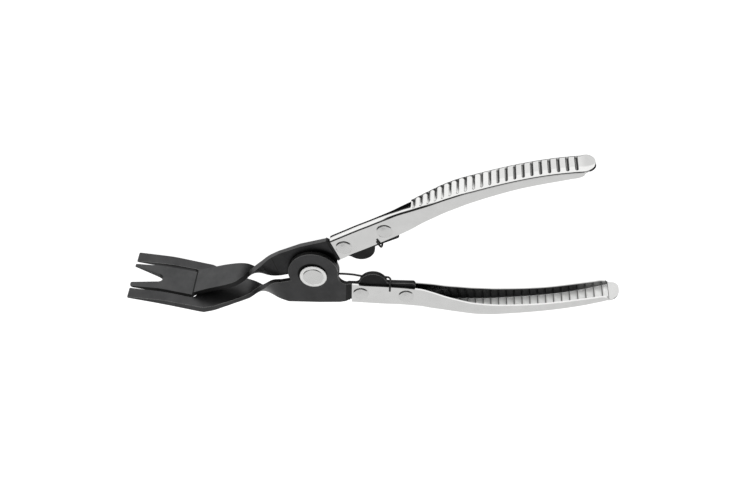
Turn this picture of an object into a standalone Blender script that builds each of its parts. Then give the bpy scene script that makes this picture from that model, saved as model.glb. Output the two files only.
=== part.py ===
"""Clip removal pliers: two pressed-steel arms on one pivot rivet, with channel handles and a torsion spring.

Plier frame used by the geometry below (millimetres): origin where the two arms' axes cross, +X along the
bisector towards the handles, +Y towards the blade arm, +Z along the rivet towards the stepped head. The two handle shells lie
mid-plane at z = 0. The finished tool lies on its side: the empty plier_frame tilts it about Y until the fork's
edge and the handles' edges reach z = 0 together.
"""
import math

import bmesh
import bpy
from mathutils import Matrix, Vector

MM = 0.001

# ---- driving dimensions, millimetres and degrees -------------------------------------------------------------
HALF_OPEN = 15.8          # each arm's angle from the bisector with the spring relaxed against its stop
PLATE_T = 2.4             # jaw plate thickness
SHEET_T = 0.95            # handle shell sheet thickness
GAP = 0.3                 # running clearance between neighbouring pieces

FRONT_Z = 0.6             # mid-plane of the fork arm's boss plate
REAR_Z = -2.1             # mid-plane of the blade arm's boss plate
# values that differ between the fork arm (-1) and the blade arm (+1) are keyed by side
BOSS = {-1: (0.25, -1.9, 12.05), 1: (0.6, 0.2, 12.2)}  # boss circle: centre in arm coordinates, radius
PIVOT = (0.5, 0.3)        # pivot axis, x and y in the plier frame
PIVOT_SHANK_R = 3.2
PIVOT_HOLE_R = 3.5
PIVOT_FLANGE_R = 6.5
PIVOT_CROWN_R = 4.9
PIVOT_FLANGE_T = 0.7
PIVOT_CROWN_T = 0.3

SHANK_IN = 2.4            # shank's inner edge behind the stop, distance from the arm's axis
SHANK_IN_END = 1.9        # the same at the shank's rear end
SHANK_IN_FRONT = {-1: 4.4, 1: 3.2}  # the same edge ahead of the stop
SHANK_OUT = 14.4          # shank's outer edge, under the shell's web
SHANK_END = 49.5          # shank's rear end
FILLET_R = {-1: 5.0, 1: 7.0}  # fillet between boss and shank
STOP_FILLET_R = 2.5       # fillet between shank and stop
STOP_C = {-1: (29.2, 4.0), 1: (29.4, 4.3)}  # half-moon stop's circle
STOP_R = 6.8
# the plate steps from boss plane to handle plane between two lines: x of each at y = 0, and their slant
JOGGLE = {-1: (16.1, 17.6, 0.0), 1: (14.4, 16.0, 0.13)}
OUTER = {-1: ((18.1, 15.1), (13.4, 16.45), (3.4, 17.3)), 1: ((17.9, 15.3), (17.2, 15.1), (15.5, 14.35), (3.3, 16.9))}  # outer edge

SHELL_FRONT = 19.0        # shell's front edge
FRONT_SLANT = {-1: 0.0, 1: 0.12}  # how far that edge leans forward per millimetre towards the arm's axis
SHELL_END = 146.2         # shell's rear tip
RIVETS_X = (23.4, 45.4)   # handle rivets
RIVET_Y = 9.45
RIVET_R = 2.2
RIVET_HOLE_R = 2.5
RIVET_HEAD_R = 3.9
RIVET_HEAD_H = 0.95

WIRE_R = 0.5             # spring wire radius
COIL_R = 4.4              # coil's mean radius
COIL_TURNS = 2.5
COIL_PITCH = 1.4
COIL_TOP = -4.25          # wire centre of the turn next to the rear boss

FORK_ROOT = (-53.1, 2.7)   # bend at the neck, x and y on the fork's upper face
FORK_BEND = (-69.8, 11.25)  # soft bend between the fork's two flats
FORK_TIP = (-86.1, 17.3)
FORK_HALF = (15.2, 15.7)  # half width at the neck and at the tip
FORK_T = (3.2, 2.65, 0.75)  # thickness at the neck, the bend and the tip
CUT_HALF = (9.75, 9.35)   # half width of the fork's cut-out at the neck and at the tip
CUT_BASE = 4.0            # cut-out's base, distance from the neck

BLADE_ROOT = (-58.6, 5.7)  # step line where the neck drops into the cut-out, on the blade's upper face
BLADE_BEND = (-72.75, 12.8)
BLADE_TIP = (-86.4, 17.2)
BLADE_Z = 0.2             # blade's middle stands this far towards the stepped head
BLADE_HALF = (8.0, 7.75)
BLADE_T = (2.6, 2.7, 0.7)
NECK_T = {-1: 3.2, 1: 2.1}  # thickness of each neck where it meets its jaw
BEND_SPAN = 3.3           # half length of the soft bends
BEND_CUTS = 4             # facets that make one soft bend
NOTCH_ROOT = 15.25         # distance of the notch's root from the step line
NOTCH_R = 2.7
NOTCH_Z = 0.6             # notch root's offset from the blade's middle
NOTCH_MOUTH = (4.95, -6.5)  # notch's two edges at the tips, from the blade's middle

# twisted necks, from boss to jaw: x, y, z of the middle, half width, twist in degrees
FORK_NECK = (
    (-16.2, -7.4, 0.6, 6.65, 0.0),
    (-20.0, -6.1, 0.35, 6.75, 12.0),
    (-24.0, -5.1, 0.25, 6.6, 33.0),
    (-28.0, -4.3, 0.2, 6.7, 53.0),
    (-33.0, -3.6, 0.2, 7.0, 77.0),
    (-38.0, -2.65, 0.25, 8.25, 87.0),
    (-43.0, -1.6, 0.35, 10.3, 90.0),
    (-48.0, -0.5, 0.35, 12.9, 90.0),
    (-53.1, 1.0, 0.0, 15.2, 90.0),
)
BLADE_NECK = (
    (-13.0, 8.05, -2.1, 6.75, 0.0),
    (-17.0, 7.6, -1.7, 6.7, 8.0),
    (-22.0, 7.25, -0.75, 6.3, 26.0),
    (-27.0, 7.1, -0.45, 6.0, 50.0),
    (-32.0, 7.15, -0.25, 6.6, 77.0),
    (-37.0, 6.9, 0.0, 6.85, 90.0),
    (-43.0, 6.75, 0.05, 7.0, 93.0),
    (-50.0, 6.45, 0.15, 7.35, 91.0),
    (-57.1, 6.0, 0.2, 8.0, 90.0),
)

# handle shell, arm coordinates: station x, web's outer face y, flange's inner edge y, half width
SHELL = (
    (19.0, 16.05, 3.65, 2.45),
    (21.5, 16.1, 3.75, 2.45),
    (24.5, 16.12, 4.15, 2.45),
    (33.0, 16.2, 4.05, 2.45),
    (42.0, 16.05, 4.15, 2.45),
    (52.0, 16.1, 4.6, 2.7),
    (58.0, 16.3, 5.6, 3.45),
    (64.0, 16.2, 7.0, 4.25),
    (71.0, 16.2, 8.1, 5.15),
    (78.0, 16.3, 8.9, 5.8),
    (86.0, 15.9, 9.0, 6.1),
    (94.0, 14.7, 8.5, 6.15),
    (103.0, 13.2, 7.5, 6.1),
    (112.0, 11.4, 6.1, 6.05),
    (121.0, 9.2, 4.05, 6.0),
    (130.0, 6.45, 1.7, 6.0),
    (135.0, 4.6, 0.4, 6.0),
    (138.5, 3.25, -0.5, 6.0),
    (140.2, 2.5, -0.5, 6.0),
    (141.4, 2.0, 0.35, 6.0),
    (142.6, 1.5, 0.5, 6.0),
    (144.3, 0.85, -0.15, 6.0),
    (145.5, 0.35, -0.65, 6.0),
    (146.2, 0.0, -1.0, 6.0),
)
CHANNEL_END = 141.2       # the channel's inside ends here, a thin tongue goes on
END_ROUND = 4.5           # radius of the shell's rounded rear end, seen on the web
WEB_BEND_R = 1.5          # outer bend radius between web and flange
REAR_CUT = (1.7, 22.5, 27.0)  # the rear flange's front corner stands back by this much, fading between stations


# ---- small geometry helpers ----------------------------------------------------------------------------------
def hermite(table, x, column):
    """Value of a table's column at x, on a smooth monotone curve through the stations."""
    sgn = 1.0 if table[-1][0] > table[0][0] else -1.0
    xs = [r[0] * sgn for r in table]
    ys = [r[column] for r in table]
    x *= sgn
    if x <= xs[0]:
        return ys[0]
    if x >= xs[-1]:
        return ys[-1]
    n = len(xs)
    h = [xs[i + 1] - xs[i] for i in range(n - 1)]
    d = [(ys[i + 1] - ys[i]) / h[i] for i in range(n - 1)]
    m = [d[0]] + [0.0] * (n - 2) + [d[-1]]
    for i in range(1, n - 1):
        if d[i - 1] * d[i] > 0:
            w1, w2 = 2 * h[i] + h[i - 1], h[i] + 2 * h[i - 1]
            m[i] = (w1 + w2) / (w1 / d[i - 1] + w2 / d[i])
    k = max(i for i in range(n - 1) if xs[i] <= x)
    t = (x - xs[k]) / h[k]
    return ((2 * t ** 3 - 3 * t ** 2 + 1) * ys[k] + (t ** 3 - 2 * t ** 2 + t) * h[k] * m[k]
            + (-2 * t ** 3 + 3 * t ** 2) * ys[k + 1] + (t ** 3 - t ** 2) * h[k] * m[k + 1])


def arm_to_plier(side, x, y, z=0.0):
    """Arm coordinates (x along the handle, y outwards) to the plier frame at rest. side is +1 for the blade arm."""
    a = math.radians(HALF_OPEN)
    return (x * math.cos(a) - y * math.sin(a), side * (x * math.sin(a) + y * math.cos(a)), z)


def plier_to_arm(side, x, y):
    a = math.radians(HALF_OPEN)
    y *= side
    return (x * math.cos(a) + y * math.sin(a), -x * math.sin(a) + y * math.cos(a))


def arc(cx, cy, r, a0, a1, n):
    """n + 1 points on a circle from angle a0 to a1, degrees."""
    out = []
    for i in range(n + 1):
        a = math.radians(a0 + (a1 - a0) * i / n)
        out.append((cx + r * math.cos(a), cy + r * math.sin(a)))
    return out


def material(name, rgb, rough, metal):
    m = bpy.data.materials.new(name)
    m.use_nodes = True
    b = m.node_tree.nodes["Principled BSDF"]
    b.inputs["Base Color"].default_value = (*rgb, 1.0)
    b.inputs["Roughness"].default_value = rough
    b.inputs["Metallic"].default_value = metal
    m.diffuse_color = (*rgb, 1.0)
    return m


def to_object(bm, name, mat, parent, smooth=35.0):
    """Turn a millimetre bmesh in the plier frame into an object in metres, hung on an empty at the pivot."""
    bmesh.ops.translate(bm, vec=(-PIVOT[0], -PIVOT[1], 0.0), verts=bm.verts)
    bmesh.ops.scale(bm, vec=(MM, MM, MM), verts=bm.verts)
    bmesh.ops.recalc_face_normals(bm, faces=bm.faces)
    me = bpy.data.meshes.new(name)
    bm.to_mesh(me)
    bm.free()
    me.materials.append(mat)
    me.shade_smooth()
    me.set_sharp_from_angle(angle=math.radians(smooth))
    ob = bpy.data.objects.new(name, me)
    bpy.context.scene.collection.objects.link(ob)
    ob.parent = parent
    return ob


def cutter(bm, name, parent):
    ob = to_object(bm, name, CUT_MAT, parent)
    ob.hide_render = True
    ob.display_type = "WIRE"
    return ob


def cut(ob, tool):
    m = ob.modifiers.new("cut_" + tool.name, "BOOLEAN")
    m.operation = "DIFFERENCE"
    m.solver = "EXACT"
    m.object = tool
    return m


def cylinder(r, z0, z1, x=0.0, y=0.0, n=32):
    bm = bmesh.new()
    bmesh.ops.create_cone(bm, cap_ends=True, segments=n, radius1=r, radius2=r, depth=z1 - z0,
                          matrix=Matrix.Translation((x, y, (z0 + z1) / 2)))
    return bm


def turned(profile, n=40, x=0.0, y=0.0):
    """Solid of revolution about Z from a profile of (radius, z) that starts and ends on the axis."""
    bm = bmesh.new()
    rings = []
    for r, z in profile:
        if r < 1e-6:
            rings.append([bm.verts.new((x, y, z))])
        else:
            rings.append([bm.verts.new((x + r * math.cos(2 * math.pi * i / n), y + r * math.sin(2 * math.pi * i / n), z))
                          for i in range(n)])
    for a, b in zip(rings, rings[1:]):
        for i in range(n):
            j = (i + 1) % n
            q = [a[i % len(a)], a[j % len(a)], b[j % len(b)], b[i % len(b)]]
            q = [v for k, v in enumerate(q) if v not in q[:k]]
            bm.faces.new(q)
    return bm


# ---- the jaw arms --------------------------------------------------------------------------------------------
def boss_and_shank(side, inner_corner, outer_corner):
    """Outline of an arm's plate in the plier frame, from the neck's inner corner round the boss, along the
    shank and back along the outer edge to the neck's outer corner."""
    pts = []
    cx, cy, boss_r = BOSS[side]
    ix, iy = plier_to_arm(side, *inner_corner)
    # the neck's inner edge runs on at its own height until it meets the boss circle
    bx, by, _ = arm_to_plier(side, cx, cy)
    meet = (bx - math.sqrt(boss_r ** 2 - (inner_corner[1] - by) ** 2), inner_corner[1])
    mx, my = plier_to_arm(side, *meet)
    a_in = math.degrees(math.atan2(my - cy, mx - cx))
    if a_in > 0:
        a_in -= 360.0
    edge, fillet, stop = SHANK_IN_FRONT[side], FILLET_R[side], STOP_C[side]
    fy = edge - fillet
    fx = cx + math.sqrt((boss_r + fillet) ** 2 - (fy - cy) ** 2)
    a_f = math.degrees(math.atan2(fy - cy, fx - cx))
    pts += [(ix, iy)]
    pts += arc(cx, cy, boss_r, a_in, a_f, 26)
    pts += arc(fx, fy, fillet, 180.0 + a_f, 90.0, 6)[1:]
    sy = edge - STOP_FILLET_R
    sx = stop[0] - math.sqrt((STOP_R + STOP_FILLET_R) ** 2 - (stop[1] - sy) ** 2)
    a_s = math.degrees(math.atan2(stop[1] - sy, stop[0] - sx))
    pts += arc(sx, sy, STOP_FILLET_R, 90.0, a_s, 4)
    a1 = 360.0 + math.degrees(math.asin((SHANK_IN - stop[1]) / STOP_R))
    pts += arc(*stop, STOP_R, 180.0 + a_s, a1, 13)[1:]
    pts += arc(SHANK_END - 1.4, SHANK_IN_END + 1.4, 1.4, -90.0, 0.0, 4)
    pts += arc(SHANK_END - 0.8, SHANK_OUT - 0.8, 0.8, 0.0, 90.0, 2)
    pts += [(SHELL_FRONT - 0.6, SHANK_OUT), *OUTER[side]]
    ox, oy = plier_to_arm(side, *outer_corner)
    pts += [(ox, oy)]
    return [arm_to_plier(side, *p)[:2] for p in pts]


def neck_frame(table, x):
    """Middle, width direction and thickness direction of a neck's cross-section at x."""
    y, z, hw, tw = (hermite(table, x, k) for k in (1, 2, 3, 4))
    e = 0.25
    slope = (hermite(table, x + e, 1) - hermite(table, x - e, 1)) / (2 * e)
    n = Vector((-slope, 1.0, 0.0)).normalized()
    f = math.radians(tw)
    wy = Vector((0, 1, 0)).lerp(n, min(1.0, tw / 90.0)).normalized()
    w = wy * math.cos(f) + Vector((0, 0, 1)) * math.sin(f)
    nn = -wy * math.sin(f) + Vector((0, 0, 1)) * math.cos(f)
    return Vector((x, y, z)), w, nn, hw


def jaw_line(root, bend, tip):
    """Upper face of a jaw seen from its edge, two flats with a soft bend: place and normal at a distance u."""
    a, b, c = (Vector((p[0], p[1], 0.0)) for p in (root, bend, tip))
    l0, l1 = (b - a).length, (c - b).length
    d0, d1 = (b - a) / l0, (c - b) / l1
    n0, n1 = Vector((d0.y, -d0.x, 0.0)), Vector((d1.y, -d1.x, 0.0))

    def at(u):
        if u <= l0 - BEND_SPAN:
            return a + d0 * u, n0
        if u >= l0 + BEND_SPAN:
            return b + d1 * (u - l0), n1
        t = (u - l0 + BEND_SPAN) / (2 * BEND_SPAN)
        p = (b - d0 * BEND_SPAN) * (1 - t) ** 2 + b * 2 * t * (1 - t) + (b + d1 * BEND_SPAN) * t * t
        return p, n0.lerp(n1, t).normalized()

    return at, l0, l0 + l1


def jaw_plate(bm, section, line, thick, z_mid, outline):
    """Jaw with two flats: outline holds (distance from root, z) points from the near edge round the tip to the far
    edge. The flat blank is cut across at the soft bend, bent, and joined to the neck's last section by four quads."""
    at, bend, length = line
    flat = bmesh.new()
    top = [flat.verts.new((u, v, 0.0)) for u, v in outline]
    bot = [flat.verts.new((u, v, -1.0)) for u, v in outline]
    flat.faces.new(top)
    flat.faces.new(list(reversed(bot)))
    for i in range(len(top) - 1):
        flat.faces.new((top[i + 1], top[i], bot[i], bot[i + 1]))
    lo, hi = bend - BEND_SPAN, bend + BEND_SPAN
    cuts = {round(lo + (hi - lo) * i / BEND_CUTS, 4) for i in range(BEND_CUTS + 1)}
    cuts |= {round(u, 4) for u, _ in outline if lo < u < hi}
    for u in sorted(cuts):
        bmesh.ops.bisect_plane(flat, geom=flat.verts[:] + flat.edges[:] + flat.faces[:], dist=1e-4,
                               plane_co=(u, 0.0, 0.0), plane_no=(1.0, 0.0, 0.0))
    made = {}
    for v in flat.verts:
        u = v.co.x
        t = thick[0] + (thick[1] - thick[0]) * u / bend if u < bend else \
            thick[1] + (thick[2] - thick[1]) * (u - bend) / (length - bend)
        p, n = at(u)
        made[v] = bm.verts.new(p + n * (t * v.co.z) + Vector((0, 0, v.co.y + z_mid)))
    for f in flat.faces:
        bm.faces.new([made[v] for v in f.verts])
    first_top, last_top, first_bot, last_bot = (made[v] for v in (top[0], top[-1], bot[0], bot[-1]))
    flat.free()
    near_top, near_bot, far_bot, far_top = section
    bm.faces.new((near_top, far_top, last_top, first_top))
    bm.faces.new((near_bot, first_bot, last_bot, far_bot))
    bm.faces.new((near_top, first_top, first_bot, near_bot))
    bm.faces.new((far_top, far_bot, last_bot, last_top))


def build_arm(side, z_mid, neck, steps, finish_jaw):
    """One arm in a single closed mesh: boss, shank with its stop and joggle, twisted neck and jaw."""
    bm = bmesh.new()
    h = PLATE_T / 2
    c0, w0, n0, hw0 = neck_frame(neck, neck[0][0])
    hi, lo = (c0.x, c0.y + hw0), (c0.x, c0.y - hw0)
    inner, outer = (lo, hi) if side > 0 else (hi, lo)
    outline = boss_and_shank(side, inner, outer)
    front = [bm.verts.new((x, y, z_mid + h)) for x, y in outline]
    back = [bm.verts.new((x, y, z_mid - h)) for x, y in outline]
    bm.faces.new(front)
    bm.faces.new(list(reversed(back)))
    k = len(outline)
    for i in range(k - 1):
        bm.faces.new((front[i + 1], front[i], back[i], back[i + 1]))
    # the four corners of the plate's left edge start the neck
    if side > 0:
        prev = [back[-1], front[-1], front[0], back[0]]
    else:
        prev = [back[0], front[0], front[-1], back[-1]]
    # prev runs: wide edge's rear-face corner, its front-face corner, other edge's front-face corner, rear-face one
    xs = [neck[0][0] + (neck[-1][0] - neck[0][0]) * i / steps for i in range(1, steps + 1)]
    root_t = NECK_T[side]
    for x in xs:
        c, w, n, hw = neck_frame(neck, x)
        s = (x - neck[0][0]) / (neck[-1][0] - neck[0][0])
        th = (PLATE_T + (root_t - PLATE_T) * max(0.0, s - 0.6) / 0.4) / 2
        ring = [bm.verts.new(c + w * hw - n * th), bm.verts.new(c + w * hw + n * th),
                bm.verts.new(c - w * hw + n * th), bm.verts.new(c - w * hw - n * th)]
        for i in range(4):
            j = (i + 1) % 4
            bm.faces.new((prev[i], prev[j], ring[j], ring[i]))
        prev = ring
    finish_jaw(bm, prev)
    # joggle: the plate steps from the boss plane to the handle plane
    a = math.radians(HALF_OPEN)
    along = Vector((math.cos(a), side * math.sin(a), 0.0))
    across = Vector((-math.sin(a), side * math.cos(a), 0.0))
    m0, m1, slant = JOGGLE[side]
    normal = (along - across * slant).normalized()
    for m in (m0, m0 + (m1 - m0) * 0.25, m0 + (m1 - m0) * 0.75, m1):
        bmesh.ops.bisect_plane(bm, geom=bm.verts[:] + bm.edges[:] + bm.faces[:], dist=1e-5,
                               plane_co=along * m, plane_no=normal)
    for v in bm.verts:
        s = (v.co.dot(along) - slant * v.co.dot(across) - m0) / (m1 - m0)
        s = max(0.0, min(1.0, s))
        v.co.z -= z_mid * (3 * s * s - 2 * s * s * s)
    bmesh.ops.recalc_face_normals(bm, faces=bm.faces)
    return bm


def fork_outline():
    length = jaw_line(FORK_ROOT, FORK_BEND, FORK_TIP)[2]
    a, b = FORK_HALF
    c, d = CUT_HALF
    r = 0.6
    pts = [(1.2, a), (length - r, b), (length, b - r), (length, d + r), (length - r, d)]
    pts += [(CUT_BASE + r, c), (CUT_BASE, c - r)]
    return pts + [(u, -v) for u, v in reversed(pts)]


def notch_side(length, mouth, steps):
    """One side of the notch as (distance, z) points: from its mouth at the tip along a tangent round to the root."""
    cu, cv = NOTCH_ROOT + NOTCH_R, NOTCH_Z
    du, dv = length - cu, mouth - cv
    dist = math.hypot(du, dv)
    turn = math.acos(NOTCH_R / dist) * (1 if mouth > 0 else -1)
    ang = math.degrees(math.atan2(dv, du) + turn)
    end = 180.0 if mouth > 0 else -180.0
    return [(cu + NOTCH_R * math.cos(math.radians(t)), cv + NOTCH_R * math.sin(math.radians(t)))
            for t in [ang + (end - ang) * i / steps for i in range(steps + 1)]]


def blade_outline():
    length = jaw_line(BLADE_ROOT, BLADE_BEND, BLADE_TIP)[2]
    a, b = BLADE_HALF
    near, far = NOTCH_MOUTH
    pts = [(0.0, a), (length - 1.2, b), (length - 0.15, b - 0.6), (length, near + 0.9), (length - 0.1, near + 0.1)]
    pts += notch_side(length, near, 6)
    pts += list(reversed(notch_side(length, far, 6)[:-1]))
    return pts + [(length - 0.2, far), (length, far - 0.1), (length - 0.1, -b), (0.0, -a)]


def fork_jaw(bm, section):
    jaw_plate(bm, section, jaw_line(FORK_ROOT, FORK_BEND, FORK_TIP), FORK_T, 0.0, fork_outline())


def blade_jaw(bm, section):
    jaw_plate(bm, section, jaw_line(BLADE_ROOT, BLADE_BEND, BLADE_TIP), BLADE_T, BLADE_Z, blade_outline())


# ---- handle shells -------------------------------------------------------------------------------------------
def shell_section(x, inset):
    """Half width, web height and inner edge at x; inset shrinks the section to the channel's inside."""
    yo, yi, hz = (hermite(SHELL, x, k) for k in (1, 2, 3))
    back = SHELL_END - x
    if back < END_ROUND:
        s = max(0.0, 1.0 - ((END_ROUND - back) / END_ROUND) ** 2)
        hz = hz * (0.18 + 0.82 * math.sqrt(s))
    return yo - inset, yi, hz - inset


def shell_solid(side, inset, x0, x1, steps, drop):
    """Loft of the channel's outer form, or with an inset of the space inside it."""
    bm = bmesh.new()
    rings = []
    xs = [x0 + (x1 - x0) * i / steps for i in range(steps + 1)]
    if not inset:
        tail = [SHELL_END - 3.0, SHELL_END - 1.7, SHELL_END - 0.6]
        xs = [x for x in xs if x < SHELL_END - END_ROUND] + [SHELL_END - END_ROUND] + tail + [SHELL_END]
    for x in xs:
        yo, yi, hz = shell_section(x, inset)
        if inset:
            yi -= drop
            hz = max(hz, 0.3)
        r = max(0.15, min(WEB_BEND_R - inset, hz * 0.8, (yo - yi) * 0.6))
        prof = [(yi, hz)]
        prof += [(yo - r + r * math.sin(t), hz - r + r * math.cos(t))
                 for t in (0.0, math.pi / 6, math.pi / 3, math.pi / 2)]
        prof += [(y, -z) for y, z in reversed(prof)]
        fade = max(0.0, min(1.0, (REAR_CUT[2] - x) / (REAR_CUT[2] - REAR_CUT[1])))
        prof[-1] = (yi + REAR_CUT[0] * fade, -hz)
        lean = FRONT_SLANT[side] if x == x0 else 0.0
        rings.append([bm.verts.new(arm_to_plier(side, x + lean * (y - 11.0), y, z)) for y, z in prof])
    for a, b in zip(rings, rings[1:]):
        for i in range(len(a)):
            j = (i + 1) % len(a)
            bm.faces.new((a[i], a[j], b[j], b[i]))
    bm.faces.new(rings[0])
    bm.faces.new(list(reversed(rings[-1])))
    bmesh.ops.recalc_face_normals(bm, faces=bm.faces)
    return bm


def rivet(side, x):
    """Handle rivet: two low domed heads on one shank."""
    cx, cy, _ = arm_to_plier(side, x, RIVET_Y)
    z0 = 2.45 + 0.25
    z1 = z0 + RIVET_HEAD_H
    head = [(RIVET_R, z0), (RIVET_HEAD_R, z0), (RIVET_HEAD_R, z0 + 0.45), (RIVET_HEAD_R - 0.35, z0 + 0.8),
            (RIVET_HEAD_R - 1.4, z1)]
    prof = [(0.0, -z1)] + [(r, -z) for r, z in reversed(head)] + head + [(0.0, z1)]
    return turned(prof, 28, cx, cy)


# ---- torsion spring ------------------------------------------------------------------------------------------
def leg_points(side, z_coil):
    """Leg of the spring in arm coordinates, from beside the coil to its hook over the shank's inner edge."""
    behind = -(PLATE_T / 2 + GAP + WIRE_R)
    crest = SHANK_IN - GAP - WIRE_R - 0.1
    over = 2.45 + GAP + WIRE_R
    end = 5.7 if side < 0 else 6.1
    hook_x = 37.3 if side < 0 else 39.4
    return [(6.0, 3.75, z_coil), (13.0, 2.95, z_coil + 0.15), (18.5, 2.45, (z_coil + behind) / 2 - 0.4),
            (24.0, 1.95, behind - 0.25), (30.0, 1.5, behind - 0.1), (hook_x - 2.4, crest, behind),
            (hook_x - 0.8, crest - 0.1, behind + 0.35), (hook_x, crest - 0.15, behind + 1.6),
            (hook_x, crest - 0.15, 0.6), (hook_x, crest, over - 1.3), (hook_x, crest + 0.75, over - 0.2),
            (hook_x, crest + 1.9, over), (hook_x, end, over)]


def spring_points():
    """Centre line of the wire in the plier frame: lower leg, coil, upper leg."""
    a = math.radians(HALF_OPEN)
    z_end = COIL_TOP - COIL_PITCH * COIL_TURNS
    lower = [arm_to_plier(-1, *p) for p in leg_points(-1, COIL_TOP)]
    upper = [arm_to_plier(1, *p) for p in leg_points(1, z_end)]
    start = -math.pi / 2 - a          # tangent point of the lower leg
    turn = -(2 * math.pi * COIL_TURNS - 2 * a)
    n = 52
    coil = []
    for i in range(n + 1):
        t = start + turn * i / n
        coil.append((PIVOT[0] + COIL_R * math.cos(t), PIVOT[1] + COIL_R * math.sin(t),
                     COIL_TOP + (z_end - COIL_TOP) * i / n))
    route = list(reversed(lower)) + coil + upper
    return smooth_route(route)


def smooth_route(route):
    """Chord-length Catmull-Rom curve through the route, resampled evenly."""
    pts = [Vector(p) for p in route]
    pts = [pts[0] * 2 - pts[1]] + pts + [pts[-1] * 2 - pts[-2]]
    dense = []
    for i in range(1, len(pts) - 2):
        p0, p1, p2, p3 = pts[i - 1:i + 3]
        t0 = 0.0
        t1 = t0 + max(1e-6, (p1 - p0).length) ** 0.5
        t2 = t1 + max(1e-6, (p2 - p1).length) ** 0.5
        t3 = t2 + max(1e-6, (p3 - p2).length) ** 0.5
        for k in range(8):
            t = t1 + (t2 - t1) * k / 8
            a1 = p0 * ((t1 - t) / (t1 - t0)) + p1 * ((t - t0) / (t1 - t0))
            a2 = p1 * ((t2 - t) / (t2 - t1)) + p2 * ((t - t1) / (t2 - t1))
            a3 = p2 * ((t3 - t) / (t3 - t2)) + p3 * ((t - t2) / (t3 - t2))
            b1 = a1 * ((t2 - t) / (t2 - t0)) + a2 * ((t - t0) / (t2 - t0))
            b2 = a2 * ((t3 - t) / (t3 - t1)) + a3 * ((t - t1) / (t3 - t1))
            dense.append(b1 * ((t2 - t) / (t2 - t1)) + b2 * ((t - t1) / (t2 - t1)))
    dense.append(pts[-2])
    total = sum((b - a).length for a, b in zip(dense, dense[1:]))
    count = 118
    out, goal, run = [dense[0]], total / count, 0.0
    for a, b in zip(dense, dense[1:]):
        seg = (b - a).length
        while seg > 0 and run + seg >= goal - 1e-9 and len(out) < count:
            out.append(a.lerp(b, (goal - run) / seg))
            goal += total / count
        run += seg
    out.append(dense[-1])
    return out


# ---- build ---------------------------------------------------------------------------------------------------
for ob in list(bpy.data.objects):
    bpy.data.objects.remove(ob, do_unlink=True)

CUT_MAT = material("cutter_grey", (0.5, 0.5, 0.5), 0.5, 0.0)
BLACK_STEEL = material("black_phosphated_steel", (0.055, 0.056, 0.058), 0.42, 0.75)
BLACK_STEEL_B = material("black_phosphated_steel_blade", (0.062, 0.063, 0.065), 0.42, 0.75)
NICKEL = material("nickel_plated_sheet_lower", (0.80, 0.81, 0.82), 0.16, 1.0)
NICKEL_B = material("nickel_plated_sheet_upper", (0.82, 0.83, 0.84), 0.16, 1.0)
RIVET_STEEL = material("nickel_plated_rivet", (0.78, 0.79, 0.80), 0.24, 1.0)
PIVOT_STEEL = material("nickel_plated_pivot", (0.77, 0.77, 0.78), 0.26, 1.0)
WASHER_STEEL = material("zinc_plated_washer", (0.66, 0.67, 0.68), 0.32, 1.0)
WIRE_STEEL = material("oiled_spring_wire", (0.10, 0.10, 0.105), 0.34, 0.9)

frame = bpy.data.objects.new("plier_frame", None)
lower_arm = bpy.data.objects.new("lower_arm_on_pivot", None)
upper_arm = bpy.data.objects.new("upper_arm_on_pivot", None)
for e in (frame, lower_arm, upper_arm):
    bpy.context.scene.collection.objects.link(e)
for e in (lower_arm, upper_arm):
    e.parent = frame
    e.location = (PIVOT[0] * MM, PIVOT[1] * MM, 0.0)

# lie the tool on its side: the fork's far edge and the handles' far edges touch one plane
grip_x = SHELL_END - END_ROUND
grip_half = hermite(SHELL, grip_x, 3)
rear_x = arm_to_plier(1, grip_x, hermite(SHELL, grip_x, 1))[0]
tilt = math.atan2(FORK_HALF[0] - grip_half, rear_x - FORK_ROOT[0])
frame.rotation_euler = (0.0, tilt, 0.0)

fork = to_object(build_arm(-1, FRONT_Z, FORK_NECK, 20, fork_jaw),
                 "outer_fork_jaw", BLACK_STEEL, lower_arm)
blade = to_object(build_arm(1, REAR_Z, BLADE_NECK, 20, blade_jaw),
                  "notched_blade_jaw", BLACK_STEEL_B, upper_arm)

for side, arm, jaw, word, mat in ((-1, lower_arm, fork, "lower", NICKEL), (1, upper_arm, blade, "upper", NICKEL_B)):
    shell = to_object(shell_solid(side, 0.0, SHELL_FRONT, SHELL_END, 34, 0.0), word + "_handle_shell", mat, arm)
    hollow = cutter(shell_solid(side, SHEET_T, SHELL_FRONT - 2.0, CHANNEL_END, 30, 2.0),
                    word + "_channel_cutter", arm)
    for x, place in zip(RIVETS_X, ("front", "rear")):
        cx, cy, _ = arm_to_plier(side, x, RIVET_Y)
        hole = cutter(cylinder(RIVET_HOLE_R, -6.0, 6.0, cx, cy, 22), "%s_%s_rivet_cutter" % (word, place), arm)
        cut(shell, hole)
        cut(jaw, hole)
        to_object(rivet(side, x), "%s_handle_rivet_%s" % (word, place), RIVET_STEEL, arm)
    cut(shell, hollow)
    bore = cutter(cylinder(PIVOT_HOLE_R, -12.0, 12.0, *PIVOT, 32), word + "_pivot_cutter", arm)
    cut(jaw, bore)

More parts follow.
